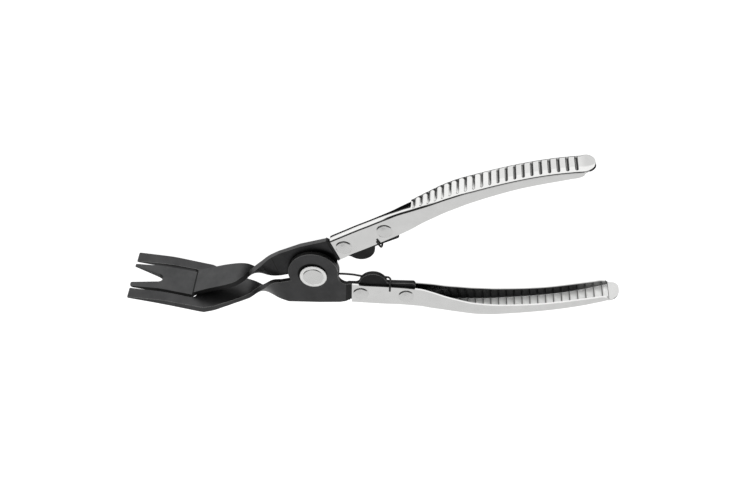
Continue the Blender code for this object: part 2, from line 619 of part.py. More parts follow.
# pivot rivet, with its stepped head in front and its tail behind the washer
top = FRONT_Z + PLATE_T / 2 + 0.25
coil_low = COIL_TOP - COIL_PITCH * COIL_TURNS - WIRE_R
wash_hi = coil_low - GAP
wash_lo = wash_hi - 0.8
tail = wash_lo - 0.25
pivot_profile = [(0.0, tail - 1.1), (2.6, tail - 1.1), (4.0, tail - 0.75), (4.5, tail - 0.25), (4.5, tail),
                 (PIVOT_SHANK_R, tail), (PIVOT_SHANK_R, top), (PIVOT_FLANGE_R, top),
                 (PIVOT_FLANGE_R, top + PIVOT_FLANGE_T - 0.12), (PIVOT_FLANGE_R - 0.15, top + PIVOT_FLANGE_T),
                 (PIVOT_CROWN_R + 0.1, top + PIVOT_FLANGE_T), (PIVOT_CROWN_R - 0.2, top + PIVOT_FLANGE_T + PIVOT_CROWN_T),
                 (0.0, top + PIVOT_FLANGE_T + PIVOT_CROWN_T)]
to_object(turned(pivot_profile, 40, *PIVOT), "pivot_rivet", PIVOT_STEEL, lower_arm)
washer_profile = [(PIVOT_SHANK_R + GAP, wash_lo), (6.2, wash_lo), (6.2, wash_hi), (PIVOT_SHANK_R + GAP, wash_hi)]
wb = bmesh.new()
rings = [[wb.verts.new((PIVOT[0] + r * math.cos(2 * math.pi * i / 40), PIVOT[1] + r * math.sin(2 * math.pi * i / 40), z))
          for i in range(40)] for r, z in washer_profile]
for a, b in zip(rings, rings[1:] + rings[:1]):
    for i in range(40):
        j = (i + 1) % 40
        wb.faces.new((a[i], a[j], b[j], b[i]))
to_object(wb, "rear_washer", WASHER_STEEL, lower_arm)

# torsion spring, a wire swept along its centre line
cu = bpy.data.curves.new("torsion_spring", "CURVE")
cu.dimensions = "3D"
cu.bevel_depth = WIRE_R * MM
cu.bevel_resolution = 2
cu.use_fill_caps = True
route = spring_points()
sp = cu.splines.new("POLY")
sp.points.add(len(route) - 1)
for p, q in zip(sp.points, route):
    p.co = ((q.x - PIVOT[0]) * MM, (q.y - PIVOT[1]) * MM, q.z * MM, 1.0)
cu.materials.append(WIRE_STEEL)
spring = bpy.data.objects.new("torsion_spring", cu)
bpy.context.scene.collection.objects.link(spring)
spring.parent = lower_arm

# set the tool down: lowest point on z = 0, box centred over the origin
bpy.context.view_layer.update()
deps = bpy.context.evaluated_depsgraph_get()
lows, highs = [1e9] * 3, [-1e9] * 3
for ob in bpy.context.scene.objects:
    if ob.type in {"MESH", "CURVE"} and not ob.hide_render:
        ev = ob.evaluated_get(deps)
        me = ev.to_mesh()
        for v in me.vertices:
            w = ob.matrix_world @ v.co
            for k in range(3):
                lows[k] = min(lows[k], w[k])
                highs[k] = max(highs[k], w[k])
        ev.to_mesh_clear()
frame.location = (-(lows[0] + highs[0]) / 2, -(lows[1] + highs[1]) / 2, -lows[2])
bpy.context.view_layer.update()
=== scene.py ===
"""Clip removal pliers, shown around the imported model: finer meshes of the same pieces and their finishes.

Plier frame used by the geometry below (millimetres): origin where the two arms' axes cross, +X along the
bisector towards the handles, +Y towards the blade arm, +Z along the rivet towards the stepped head.
"""
import math

import bmesh
import bpy
from mathutils import Matrix, Vector


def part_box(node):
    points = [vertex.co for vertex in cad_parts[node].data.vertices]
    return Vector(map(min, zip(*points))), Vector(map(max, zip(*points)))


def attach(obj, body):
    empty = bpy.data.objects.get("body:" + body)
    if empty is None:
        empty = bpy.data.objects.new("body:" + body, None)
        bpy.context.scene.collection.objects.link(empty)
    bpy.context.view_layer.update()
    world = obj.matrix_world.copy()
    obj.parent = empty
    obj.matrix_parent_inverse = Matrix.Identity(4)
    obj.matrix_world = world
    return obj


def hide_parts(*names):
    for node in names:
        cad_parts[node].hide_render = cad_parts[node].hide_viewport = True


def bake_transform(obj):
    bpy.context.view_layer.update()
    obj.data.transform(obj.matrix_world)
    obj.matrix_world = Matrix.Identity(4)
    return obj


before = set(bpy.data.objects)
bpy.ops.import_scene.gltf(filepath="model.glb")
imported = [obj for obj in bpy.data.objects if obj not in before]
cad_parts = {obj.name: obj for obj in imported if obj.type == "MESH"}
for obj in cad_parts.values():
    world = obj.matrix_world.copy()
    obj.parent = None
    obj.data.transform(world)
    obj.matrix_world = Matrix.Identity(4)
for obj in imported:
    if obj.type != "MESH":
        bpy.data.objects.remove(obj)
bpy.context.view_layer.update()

# ---- dimensions of the pieces, millimetres and degrees -------------------------------------------------------
HALF_OPEN = 15.8
PLATE_T = 2.4
SHEET_T = 0.95
GAP = 0.3
FRONT_Z = 0.6
REAR_Z = -2.1
BOSS = {-1: (0.25, -1.9, 12.05), 1: (0.6, 0.2, 12.2)}
PIVOT = (0.5, 0.3)
PIVOT_SHANK_R = 3.2
PIVOT_HOLE_R = 3.5
PIVOT_FLANGE_R = 6.5
PIVOT_CROWN_R = 4.9
PIVOT_FLANGE_T = 0.7
PIVOT_CROWN_T = 0.3
SHANK_IN = 2.4
SHANK_IN_END = 1.9
SHANK_IN_FRONT = {-1: 4.4, 1: 3.2}
SHANK_OUT = 14.4
SHANK_END = 49.5
FILLET_R = {-1: 5.0, 1: 7.0}
STOP_FILLET_R = 2.5
STOP_C = {-1: (29.2, 4.0), 1: (29.4, 4.3)}
STOP_R = 6.8
JOGGLE = {-1: (16.1, 17.6, 0.0), 1: (14.4, 16.0, 0.13)}
OUTER = {-1: ((18.1, 15.1), (13.4, 16.45), (3.4, 17.3)), 1: ((17.9, 15.3), (17.0, 14.9), (16.2, 14.3), (15.5, 14.3), (3.3, 16.9))}
SHELL_FRONT = 19.0
FRONT_SLANT = {-1: 0.0, 1: 0.12}
SHELL_END = 146.2
RIVETS_X = (23.4, 45.4)
RIVET_Y = 9.45
RIVET_R = 2.2
RIVET_HOLE_R = 2.5
RIVET_HEAD_R = 3.9
RIVET_HEAD_H = 0.95
WIRE_R = 0.5
COIL_R = 4.4
COIL_TURNS = 2.5
COIL_PITCH = 1.4
COIL_TOP = -4.25
FORK_ROOT = (-53.1, 2.7)
FORK_BEND = (-69.8, 11.25)
FORK_TIP = (-86.1, 17.3)
FORK_HALF = (15.2, 15.7)
FORK_T = (3.2, 2.65, 0.75)
CUT_HALF = (9.75, 9.35)
CUT_BASE = 4.0
BLADE_ROOT = (-58.6, 5.7)
BLADE_BEND = (-72.75, 12.8)
BLADE_TIP = (-86.4, 17.2)
BLADE_Z = 0.2
BLADE_HALF = (8.0, 7.75)
BLADE_T = (2.6, 2.7, 0.7)
NECK_T = {-1: 3.2, 1: 2.1}
BEND_SPAN = 3.3
BEND_CUTS = 14
NOTCH_ROOT = 15.25
NOTCH_R = 2.7
NOTCH_Z = 0.6
NOTCH_MOUTH = (4.95, -6.2)
# twisted necks, from boss to jaw: x, y, z of the middle, half width, twist in degrees
FORK_NECK = (
    (-16.2, -7.4, 0.6, 6.65, 0.0),
    (-20.0, -6.1, 0.35, 6.75, 12.0),
    (-24.0, -5.1, 0.25, 6.6, 33.0),
    (-28.0, -4.3, 0.2, 6.7, 53.0),
    (-33.0, -3.6, 0.2, 7.0, 77.0),
    (-38.0, -2.65, 0.25, 8.25, 87.0),
    (-43.0, -1.6, 0.35, 10.3, 90.0),
    (-48.0, -0.5, 0.35, 12.9, 90.0),
    (-53.1, 1.0, 0.0, 15.2, 90.0),
)
BLADE_NECK = (
    (-13.0, 8.05, -2.1, 6.75, 0.0),
    (-17.0, 7.6, -1.7, 6.7, 8.0),
    (-22.0, 7.25, -0.75, 6.3, 26.0),
    (-27.0, 7.1, -0.45, 6.0, 50.0),
    (-32.0, 7.15, -0.25, 6.6, 77.0),
    (-37.0, 6.9, 0.0, 6.85, 90.0),
    (-43.0, 6.75, 0.05, 7.0, 93.0),
    (-50.0, 6.45, 0.15, 7.35, 91.0),
    (-57.1, 6.0, 0.2, 8.0, 90.0),
)
# handle shell, arm coordinates: station x, web's outer face y, flange's inner edge y, half width
SHELL = (
    (19.0, 16.05, 3.65, 2.45),
    (21.5, 16.1, 3.75, 2.45),
    (24.5, 16.12, 4.15, 2.45),
    (33.0, 16.2, 4.05, 2.45),
    (42.0, 16.05, 4.15, 2.45),
    (52.0, 16.1, 4.6, 2.7),
    (58.0, 16.3, 5.6, 3.45),
    (64.0, 16.2, 7.0, 4.25),
    (71.0, 16.2, 8.1, 5.15),
    (78.0, 16.3, 8.9, 5.8),
    (86.0, 15.9, 9.0, 6.1),
    (94.0, 14.7, 8.5, 6.15),
    (103.0, 13.2, 7.5, 6.1),
    (112.0, 11.4, 6.1, 6.05),
    (121.0, 9.2, 4.05, 6.0),
    (130.0, 6.45, 1.7, 6.0),
    (135.0, 4.6, 0.4, 6.0),
    (138.5, 3.25, -0.5, 6.0),
    (140.2, 2.5, -0.5, 6.0),
    (141.4, 2.0, 0.35, 6.0),
    (142.6, 1.5, 0.5, 6.0),
    (144.3, 0.85, -0.15, 6.0),
    (145.5, 0.35, -0.65, 6.0),
    (146.2, 0.0, -1.0, 6.0),
)
CHANNEL_END = 141.2
END_ROUND = 4.5
WEB_BEND_R = 1.5
REAR_CUT = (1.7, 22.5, 27.0)
# pressed grip grooves across the web
RIB_FIRST = 64.3
RIB_PITCH = 3.72
RIB_COUNT = 21
RIB_HALF = 0.8            # half the width of one groove
RIB_DEPTH = 0.8
RIB_CROWN = 0.08          # how far each land between two grooves is crowned
FAR_ROUND = 0.10          # the web's far side falls away as a parabola with this factor, ahead of the grooves
SHOULDER = 0.17           # slope of the web towards its far side, ahead of the grooves
SHOULDER_SPAN = (18.0, 20.0, 62.6, 63.1)  # it grows between the first two stations and ends between the last two


# ---- geometry helpers ----------------------------------------------------------------------------------------
def smooth(a, b, x):
    t = max(0.0, min(1.0, (x - a) / (b - a)))
    return t * t * (3 - 2 * t)


def hermite(table, x, column):
    """Value of a table's column at x, on a smooth monotone curve through the stations."""
    sgn = 1.0 if table[-1][0] > table[0][0] else -1.0
    xs = [r[0] * sgn for r in table]
    ys = [r[column] for r in table]
    x *= sgn
    if x <= xs[0]:
        return ys[0]
    if x >= xs[-1]:
        return ys[-1]
    n = len(xs)
    h = [xs[i + 1] - xs[i] for i in range(n - 1)]
    d = [(ys[i + 1] - ys[i]) / h[i] for i in range(n - 1)]
    m = [d[0]] + [0.0] * (n - 2) + [d[-1]]
    for i in range(1, n - 1):
        if d[i - 1] * d[i] > 0:
            w1, w2 = 2 * h[i] + h[i - 1], h[i] + 2 * h[i - 1]
            m[i] = (w1 + w2) / (w1 / d[i - 1] + w2 / d[i])
    k = max(i for i in range(n - 1) if xs[i] <= x)
    t = (x - xs[k]) / h[k]
    return ((2 * t ** 3 - 3 * t ** 2 + 1) * ys[k] + (t ** 3 - 2 * t ** 2 + t) * h[k] * m[k]
            + (-2 * t ** 3 + 3 * t ** 2) * ys[k + 1] + (t ** 3 - t ** 2) * h[k] * m[k + 1])


def arm_to_plier(side, x, y, z=0.0):
    a = math.radians(HALF_OPEN)
    return (x * math.cos(a) - y * math.sin(a), side * (x * math.sin(a) + y * math.cos(a)), z)


def plier_to_arm(side, x, y):
    a = math.radians(HALF_OPEN)
    y *= side
    return (x * math.cos(a) + y * math.sin(a), -x * math.sin(a) + y * math.cos(a))


def arc(cx, cy, r, a0, a1, n):
    out = []
    for i in range(n + 1):
        a = math.radians(a0 + (a1 - a0) * i / n)
        out.append((cx + r * math.cos(a), cy + r * math.sin(a)))
    return out


# place of the plier frame in the row frame, from the same two edges that the tool lies on
_grip = SHELL_END - END_ROUND
_tilt = math.atan2(FORK_HALF[0] - hermite(SHELL, _grip, 3),
                   arm_to_plier(1, _grip, hermite(SHELL, _grip, 1))[0] - FORK_ROOT[0])
_turn = Matrix.Rotation(_tilt, 4, "Y")


def place():
    """Matrix from plier millimetres to the row frame's metres, tilted as the tool lies and seated by the imported pivot
    rivet's box.
    """
    ends = []
    for side in (1, -1):
        for x in (SHELL_FRONT, 140.0, SHELL_END):
            ends.append(Vector(arm_to_plier(side, x, hermite(SHELL, x, 1), 0.0)))
    low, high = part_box("pivot_rivet")
    mid = (low + high) / 2
    top = FRONT_Z + PLATE_T / 2 + 0.25
    tail = COIL_TOP - COIL_PITCH * COIL_TURNS - WIRE_R - GAP - 0.8 - 0.25 - 1.1
    head = top + PIVOT_FLANGE_T + PIVOT_CROWN_T
    # the rivet is a turned piece, so the middle of its two end faces is the middle of its axis
    centre = Vector((PIVOT[0], PIVOT[1], (head + tail) / 2))
    c, s = math.cos(_tilt), math.sin(_tilt)
    # ends of the box along X and Z come from the flange in front and the tail's discs behind
    hi_x = max(PIVOT[0] * c + r * c + z * s for r, z in
               ((PIVOT_FLANGE_R, top), (PIVOT_FLANGE_R, top + PIVOT_FLANGE_T - 0.12), (4.5, tail + 1.1)))
    lo_x = min(PIVOT[0] * c - r * c + z * s for r, z in
               ((PIVOT_FLANGE_R, top), (4.5, tail + 1.1), (4.5, tail + 0.85), (4.0, tail + 0.35), (2.6, tail)))
    hi_z = max(-(PIVOT[0] - r) * s + z * c for r, z in
               ((PIVOT_CROWN_R - 0.2, head), (PIVOT_FLANGE_R - 0.15, top + PIVOT_FLANGE_T),
                (PIVOT_FLANGE_R, top + PIVOT_FLANGE_T - 0.12)))
    move = Vector((high.x - hi_x * 0.001, mid.y - PIVOT[1] * 0.001, high.z - hi_z * 0.001))
    return Matrix.Translation(move) @ _turn @ Matrix.Scale(0.001, 4)


PLACE = place()


def finish_mesh(bm, name, mats, angle=32.0, recalc=True):
    """Turn a millimetre bmesh in the plier frame into an object in the row frame."""
    if recalc:
        bmesh.ops.recalc_face_normals(bm, faces=bm.faces)
    me = bpy.data.meshes.new(name)
    bm.to_mesh(me)
    bm.free()
    me.transform(PLACE)
    for m in mats:
        me.materials.append(m)
    me.shade_smooth()
    me.set_sharp_from_angle(angle=math.radians(angle))
    ob = bpy.data.objects.new(name, me)
    bpy.context.scene.collection.objects.link(ob)
    return ob


def hole_cutter(r, x, y, z0, z1, n):
    bm = bmesh.new()
    bmesh.ops.create_cone(bm, cap_ends=True, segments=n, radius1=r, radius2=r, depth=z1 - z0,
                          matrix=Matrix.Translation((x, y, (z0 + z1) / 2)))
    return bm


def apply_modifiers(ob):
    """Bake the object's modifiers into its mesh."""
    dg = bpy.context.evaluated_depsgraph_get()
    me = bpy.data.meshes.new_from_object(ob.evaluated_get(dg))
    ob.modifiers.clear()
    old = ob.data
    name = old.name
    ob.data = me
    bpy.data.meshes.remove(old)
    me.name = name


def cut_holes(ob, holes):
    """Cut round holes given as (radius, x, y) in the plier frame."""
    tools = []
    for i, (r, x, y) in enumerate(holes):
        tool = finish_mesh(hole_cutter(r, x, y, -13.0, 13.0, 48), "%s_bore_%d" % (ob.name, i), [])
        m = ob.modifiers.new("bore", "BOOLEAN")
        m.operation = "DIFFERENCE"
        m.solver = "EXACT"
        m.object = tool
        tools.append(tool)
    apply_modifiers(ob)
    for t in tools:
        me = t.data
        bpy.data.objects.remove(t, do_unlink=True)
        bpy.data.meshes.remove(me)


def turned(profile, n=96, x=0.0, y=0.0):
    """Solid of revolution about Z from a profile of (radius, z) that starts and ends on the axis."""
    bm = bmesh.new()
    rings = []
    for r, z in profile:
        if r < 1e-6:
            rings.append([bm.verts.new((x, y, z))])
        else:
            rings.append([bm.verts.new((x + r * math.cos(2 * math.pi * i / n), y + r * math.sin(2 * math.pi * i / n), z))
                          for i in range(n)])
    for a, b in zip(rings, rings[1:]):
        for i in range(n):
            j = (i + 1) % n
            q = [a[i % len(a)], a[j % len(a)], b[j % len(b)], b[i % len(b)]]
            q = [v for k, v in enumerate(q) if v not in q[:k]]
            bm.faces.new(q)
    return bm


def rounded(points, radius, n=4, closed=False):
    """Profile with each inner corner replaced by a small arc-like curve."""
    out = [] if closed else [points[0]]
    rng = range(len(points)) if closed else range(1, len(points) - 1)
    for i in rng:
        p0, p, p1 = Vector(points[i - 1]), Vector(points[i]), Vector(points[(i + 1) % len(points)])
        a, b = p0 - p, p1 - p
        r = min(radius, a.length * 0.45, b.length * 0.45)
        s, e = p + a.normalized() * r, p + b.normalized() * r
        for k in range(n + 1):
            t = k / n
            q = s * (1 - t) ** 2 + p * 2 * t * (1 - t) + e * t * t
            out.append((q.x, q.y))
    if not closed:
        out.append(points[-1])
    return out


# ---- finishes ------------------------------------------------------------------------------------------------
def nodes_of(name):
    m = bpy.data.materials.new(name)
    m.use_nodes = True
    nt = m.node_tree
    return m, nt, nt.nodes["Principled BSDF"]


def node(nt, kind, **values):
    n = nt.nodes.new(kind)
    for k, v in values.items():
        setattr(n, k, v)
    return n


def coords(nt, scale, turn=0.0):
    """Object coordinates in the row frame, stretched by scale and turned about Z."""
    tc = node(nt, "ShaderNodeTexCoord")
    mp = node(nt, "ShaderNodeMapping")
    mp.inputs["Scale"].default_value = scale
    mp.inputs["Rotation"].default_value = (0.0, 0.0, math.radians(turn))
    nt.links.new(tc.outputs["Object"], mp.inputs["Vector"])
    return mp.outputs["Vector"]


def noise(nt, vector, scale, detail=3.0, rough=0.55):
    n = node(nt, "ShaderNodeTexNoise")
    n.inputs["Scale"].default_value = scale
    n.inputs["Detail"].default_value = detail
    n.inputs["Roughness"].default_value = rough
    nt.links.new(vector, n.inputs["Vector"])
    return n.outputs["Fac"]


def remap(nt, value, lo, hi, to_lo, to_hi):
    n = node(nt, "ShaderNodeMapRange")
    n.inputs["From Min"].default_value = lo
    n.inputs["From Max"].default_value = hi
    n.inputs["To Min"].default_value = to_lo
    n.inputs["To Max"].default_value = to_hi
    nt.links.new(value, n.inputs["Value"])
    return n.outputs["Result"]


def blend_rgb(nt, fac, a, b):
    n = node(nt, "ShaderNodeMix", data_type="RGBA")
    nt.links.new(fac, n.inputs["Factor"])
    for value, socket in ((a, n.inputs["A"]), (b, n.inputs["B"])):
        if isinstance(value, tuple):
            socket.default_value = (*value, 1.0)
        else:
            nt.links.new(value, socket)
    return n.outputs["Result"]


def math_node(nt, op, a, b):
    n = node(nt, "ShaderNodeMath", operation=op)
    for value, socket in ((a, n.inputs[0]), (b, n.inputs[1])):
        if isinstance(value, (int, float)):
            socket.default_value = value
        else:
            nt.links.new(value, socket)
    return n.outputs[0]


def bump(nt, height, strength, distance, normal=None):
    n = node(nt, "ShaderNodeBump")
    n.inputs["Strength"].default_value = strength
    n.inputs["Distance"].default_value = distance
    nt.links.new(height, n.inputs["Height"])
    if normal is not None:
        nt.links.new(normal, n.inputs["Normal"])
    return n.outputs["Normal"]


def nickel(name, turn, base=(0.93, 0.93, 0.92), rough=0.13, painted_shade_attribute=None):
    """Bright nickel plate: faint lengthwise polishing lines, cloudy plating, and painted shade from a vertex attribute
    that turns the colour near black in the grooves' floors and along dark lines and walls.
    """
    m, nt, b = nodes_of(name)
    b.inputs["Metallic"].default_value = 1.0
    lines = noise(nt, coords(nt, (1.0, 26.0, 26.0), turn), 150.0, 4.0, 0.6)
    cloud = noise(nt, coords(nt, (1.0, 1.0, 1.0), turn), 190.0, 3.0, 0.5)
    fine = noise(nt, coords(nt, (1.0, 1.0, 1.0), turn), 2600.0, 2.0, 0.6)
    dark = tuple(c * 0.95 for c in base)
    colour = blend_rgb(nt, remap(nt, cloud, 0.35, 0.7, 0.0, 1.0), dark, base)
    # painted shade: the attribute blends the colour towards near black
    if painted_shade_attribute:
        at = node(nt, "ShaderNodeAttribute", attribute_type="GEOMETRY", attribute_name=painted_shade_attribute)
        colour = blend_rgb(nt, remap(nt, at.outputs["Fac"], 0.2, 0.85, 0.0, 0.97), colour, (0.013, 0.013, 0.014))
    nt.links.new(colour, b.inputs["Base Color"])
    worn = math_node(nt, "ADD", remap(nt, lines, 0.3, 0.75, rough * 0.8, rough * 1.25),
                     remap(nt, cloud, 0.3, 0.7, -0.02, 0.03))
    nt.links.new(worn, b.inputs["Roughness"])
    nt.links.new(bump(nt, lines, 0.10, 0.00002, bump(nt, fine, 0.12, 0.00001)), b.inputs["Normal"])
    return m


def black_steel(name, base=(0.058, 0.058, 0.059), lift=(0.080, 0.080, 0.081), rough=0.36, metal=0.92, grain=1.0,
                rub=0.20, ring=None):
    """Blackened forged steel: fine satin grain, soft cloudy patches and a few rubbed specks. A ring (x, y, radius,
    fade, in the plier frame) is painted shadow: near black round a piece on top, where its shade falls."""
    m, nt, b = nodes_of(name)
    b.inputs["Metallic"].default_value = metal
    v = coords(nt, (1.0, 1.0, 1.0))
    cloud = noise(nt, v, 120.0, 4.0, 0.6)
    grainy = noise(nt, v, 2400.0, 3.0, 0.65)
    streak = noise(nt, coords(nt, (8.0, 1.0, 1.0)), 320.0, 3.0, 0.6)
    speck = node(nt, "ShaderNodeTexVoronoi")
    speck.inputs["Scale"].default_value = 420.0
    nt.links.new(v, speck.inputs["Vector"])
    tone = blend_rgb(nt, remap(nt, cloud, 0.32, 0.72, 0.0, 1.0), base, lift)
    rubbed = math_node(nt, "MULTIPLY", remap(nt, speck.outputs["Distance"], 0.05, 0.16, 1.0, 0.0),
                       remap(nt, cloud, 0.60, 0.72, 0.0, 0.7))
    tone = blend_rgb(nt, rubbed, tone, (rub, rub, rub))
    # painted shadow: the colour goes near black inside the ring and fades out over its fade width
    if ring:
        x, y, radius, fade = ring
        centre = PLACE @ Vector((x, y, 0.0))
        flat = node(nt, "ShaderNodeMapping")
        flat.inputs["Location"].default_value = (-centre.x, -centre.y, 0.0)
        flat.inputs["Scale"].default_value = (1.0, 1.0, 0.0)
        nt.links.new(v, flat.inputs["Vector"])
        far = node(nt, "ShaderNodeVectorMath", operation="LENGTH")
        nt.links.new(flat.outputs["Vector"], far.inputs[0])
        tone = blend_rgb(nt, remap(nt, far.outputs["Value"], radius * 0.001, (radius + fade) * 0.001, 0.96, 0.0), tone,
                         (0.003, 0.003, 0.003))
    nt.links.new(tone, b.inputs["Base Color"])
    nt.links.new(math_node(nt, "ADD", remap(nt, grainy, 0.3, 0.7, rough - 0.05, rough + 0.05),
                           remap(nt, streak, 0.3, 0.7, -0.04, 0.04)), b.inputs["Roughness"])
    nt.links.new(bump(nt, grainy, 0.30 * grain, 0.00003, bump(nt, streak, 0.15 * grain, 0.00003)), b.inputs["Normal"])
    return m


# fork steel with a painted shadow ring round the pivot rivet's head
STEEL = black_steel("blackened_steel_fork", ring=(PIVOT[0] - 0.2, PIVOT[1] + 0.75, PIVOT_FLANGE_R + 0.25, 0.55))
STEEL_B = black_steel("blackened_steel_blade", base=(0.068, 0.069, 0.070), lift=(0.094, 0.094, 0.095))
# lighter steel on the rounded edges: partly rubbed wear, partly painted highlight
EDGE_WEAR_AND_HIGHLIGHT = black_steel("blackened_steel_rubbed_edge", base=(0.15, 0.15, 0.15), lift=(0.23, 0.23, 0.23), rough=0.30, metal=0.95)
# near-black steel as painted shade on steps, cut faces, side walls and the joggles, where light doesn't reach
STEP_SHADE = black_steel("painted_shade_steel_step", base=(0.010, 0.010, 0.010), lift=(0.018, 0.018, 0.018), rough=0.45, metal=0.85, rub=0.03)
STEP_SHADE.node_tree.nodes["Principled BSDF"].inputs["Metallic"].default_value = 0.15
STEP_SHADE.node_tree.nodes["Principled BSDF"].inputs["Specular IOR Level"].default_value = 0.15
# darker steel on the shank behind the joggle; on the blade neck's edge face beyond x -28.5 it is painted shade
SHANK = black_steel("blackened_steel_shank", base=(0.020, 0.020, 0.021), lift=(0.034, 0.034, 0.034), rough=0.42, metal=0.9, rub=0.08)
# darker copy of the steel as painted shade on the blade arm's rear plate face behind the fork's boss, with a painted
# shadow ring round that boss
PLATE_SHADED = black_steel("blackened_steel_rear_plate_shaded", base=(0.030, 0.030, 0.031), lift=(0.050, 0.050, 0.051), rough=0.38, rub=0.1,
                    ring=(BOSS[-1][0] + 2.4, BOSS[-1][1] + 1.3, BOSS[-1][2] + 2.0, 1.6))
# lighter copy of the steel as painted light on faces turned to the light: the blade arm's outer edge and its neck's
# edge face near the boss
LIT_SIDE = black_steel("blackened_steel_lit_side", base=(0.088, 0.088, 0.089), lift=(0.118, 0.118, 0.119), rough=0.36)
NICKEL_LOW = nickel("bright_nickel_lower", HALF_OPEN, painted_shade_attribute="groove")
NICKEL_UP = nickel("bright_nickel_upper", -HALF_OPEN, painted_shade_attribute="groove")
NICKEL_IN_LOW = nickel("matt_nickel_inside_lower", HALF_OPEN, base=(0.86, 0.86, 0.85), rough=0.5, painted_shade_attribute="groove")
NICKEL_IN_UP = nickel("matt_nickel_inside_upper", -HALF_OPEN, base=(0.86, 0.86, 0.85), rough=0.5, painted_shade_attribute="groove")
for inside in (NICKEL_IN_LOW, NICKEL_IN_UP):
    inside.node_tree.nodes["Principled BSDF"].inputs["Metallic"].default_value = 0.15
NICKEL_RIVET = nickel("satin_nickel_rivet", 0.0, base=(0.88, 0.88, 0.87), rough=0.22)
NICKEL_PIVOT = nickel("satin_nickel_pivot", 0.0, base=(0.88, 0.88, 0.87), rough=0.22)
RIM = nickel("matt_pivot_rim", 0.0, base=(0.76, 0.76, 0.75), rough=0.5)
RIM.node_tree.nodes["Principled BSDF"].inputs["Metallic"].default_value = 0.5
ZINC = nickel("dull_zinc_washer", 0.0, base=(0.62, 0.63, 0.65), rough=0.34)
WIRE = black_steel("oiled_black_wire", base=(0.045, 0.045, 0.045), lift=(0.08, 0.08, 0.08), rough=0.26, metal=0.95, grain=0.5)


# ---- the jaw arms --------------------------------------------------------------------------------------------
def boss_and_shank(side, inner_corner, outer_corner):
    pts = []
    cx, cy, boss_r = BOSS[side]
    ix, iy = plier_to_arm(side, *inner_corner)
    bx, by, _ = arm_to_plier(side, cx, cy)
    meet = (bx - math.sqrt(boss_r ** 2 - (inner_corner[1] - by) ** 2), inner_corner[1])
    mx, my = plier_to_arm(side, *meet)
    a_in = math.degrees(math.atan2(my - cy, mx - cx))
    if a_in > 0:
        a_in -= 360.0
    edge, fillet, stop = SHANK_IN_FRONT[side], FILLET_R[side], STOP_C[side]
    fy = edge - fillet
    fx = cx + math.sqrt((boss_r + fillet) ** 2 - (fy - cy) ** 2)
    a_f = math.degrees(math.atan2(fy - cy, fx - cx))
    pts += [(ix, iy)]
    pts += arc(cx, cy, boss_r, a_in, a_f, 84)
    pts += arc(fx, fy, fillet, 180.0 + a_f, 90.0, 18)[1:]
    sy = edge - STOP_FILLET_R
    sx = stop[0] - math.sqrt((STOP_R + STOP_FILLET_R) ** 2 - (stop[1] - sy) ** 2)
    a_s = math.degrees(math.atan2(stop[1] - sy, stop[0] - sx))
    pts += arc(sx, sy, STOP_FILLET_R, 90.0, a_s, 10)
    a1 = 360.0 + math.degrees(math.asin((SHANK_IN - stop[1]) / STOP_R))
    pts += arc(*stop, STOP_R, 180.0 + a_s, a1, 44)[1:]
    pts += arc(SHANK_END - 1.4, SHANK_IN_END + 1.4, 1.4, -90.0, 0.0, 8)
    pts += arc(SHANK_END - 0.8, SHANK_OUT - 0.8, 0.8, 0.0, 90.0, 5)
    pts += [(SHELL_FRONT - 0.6, SHANK_OUT), *OUTER[side]]
    ox, oy = plier_to_arm(side, *outer_corner)
    pts += [(ox, oy)]
    return [arm_to_plier(side, *p)[:2] for p in pts]


def neck_frame(table, x):
    y, z, hw, tw = (hermite(table, x, k) for k in (1, 2, 3, 4))
    e = 0.25
    slope = (hermite(table, x + e, 1) - hermite(table, x - e, 1)) / (2 * e)
    n = Vector((-slope, 1.0, 0.0)).normalized()
    f = math.radians(tw)
    wy = Vector((0, 1, 0)).lerp(n, min(1.0, tw / 90.0)).normalized()
    w = wy * math.cos(f) + Vector((0, 0, 1)) * math.sin(f)
    nn = -wy * math.sin(f) + Vector((0, 0, 1)) * math.cos(f)
    return Vector((x, y, z)), w, nn, hw


def jaw_line(root, bend, tip):
    """Upper face of a jaw seen from its edge, two flats with a soft bend: place and normal at a distance u."""
    a, b, c = (Vector((p[0], p[1], 0.0)) for p in (root, bend, tip))
    l0, l1 = (b - a).length, (c - b).length
    d0, d1 = (b - a) / l0, (c - b) / l1
    n0, n1 = Vector((d0.y, -d0.x, 0.0)), Vector((d1.y, -d1.x, 0.0))

    def at(u):
        if u <= l0 - BEND_SPAN:
            return a + d0 * u, n0
        if u >= l0 + BEND_SPAN:
            return b + d1 * (u - l0), n1
        t = (u - l0 + BEND_SPAN) / (2 * BEND_SPAN)
        p = (b - d0 * BEND_SPAN) * (1 - t) ** 2 + b * 2 * t * (1 - t) + (b + d1 * BEND_SPAN) * t * t
        return p, n0.lerp(n1, t).normalized()

    return at, l0, l0 + l1


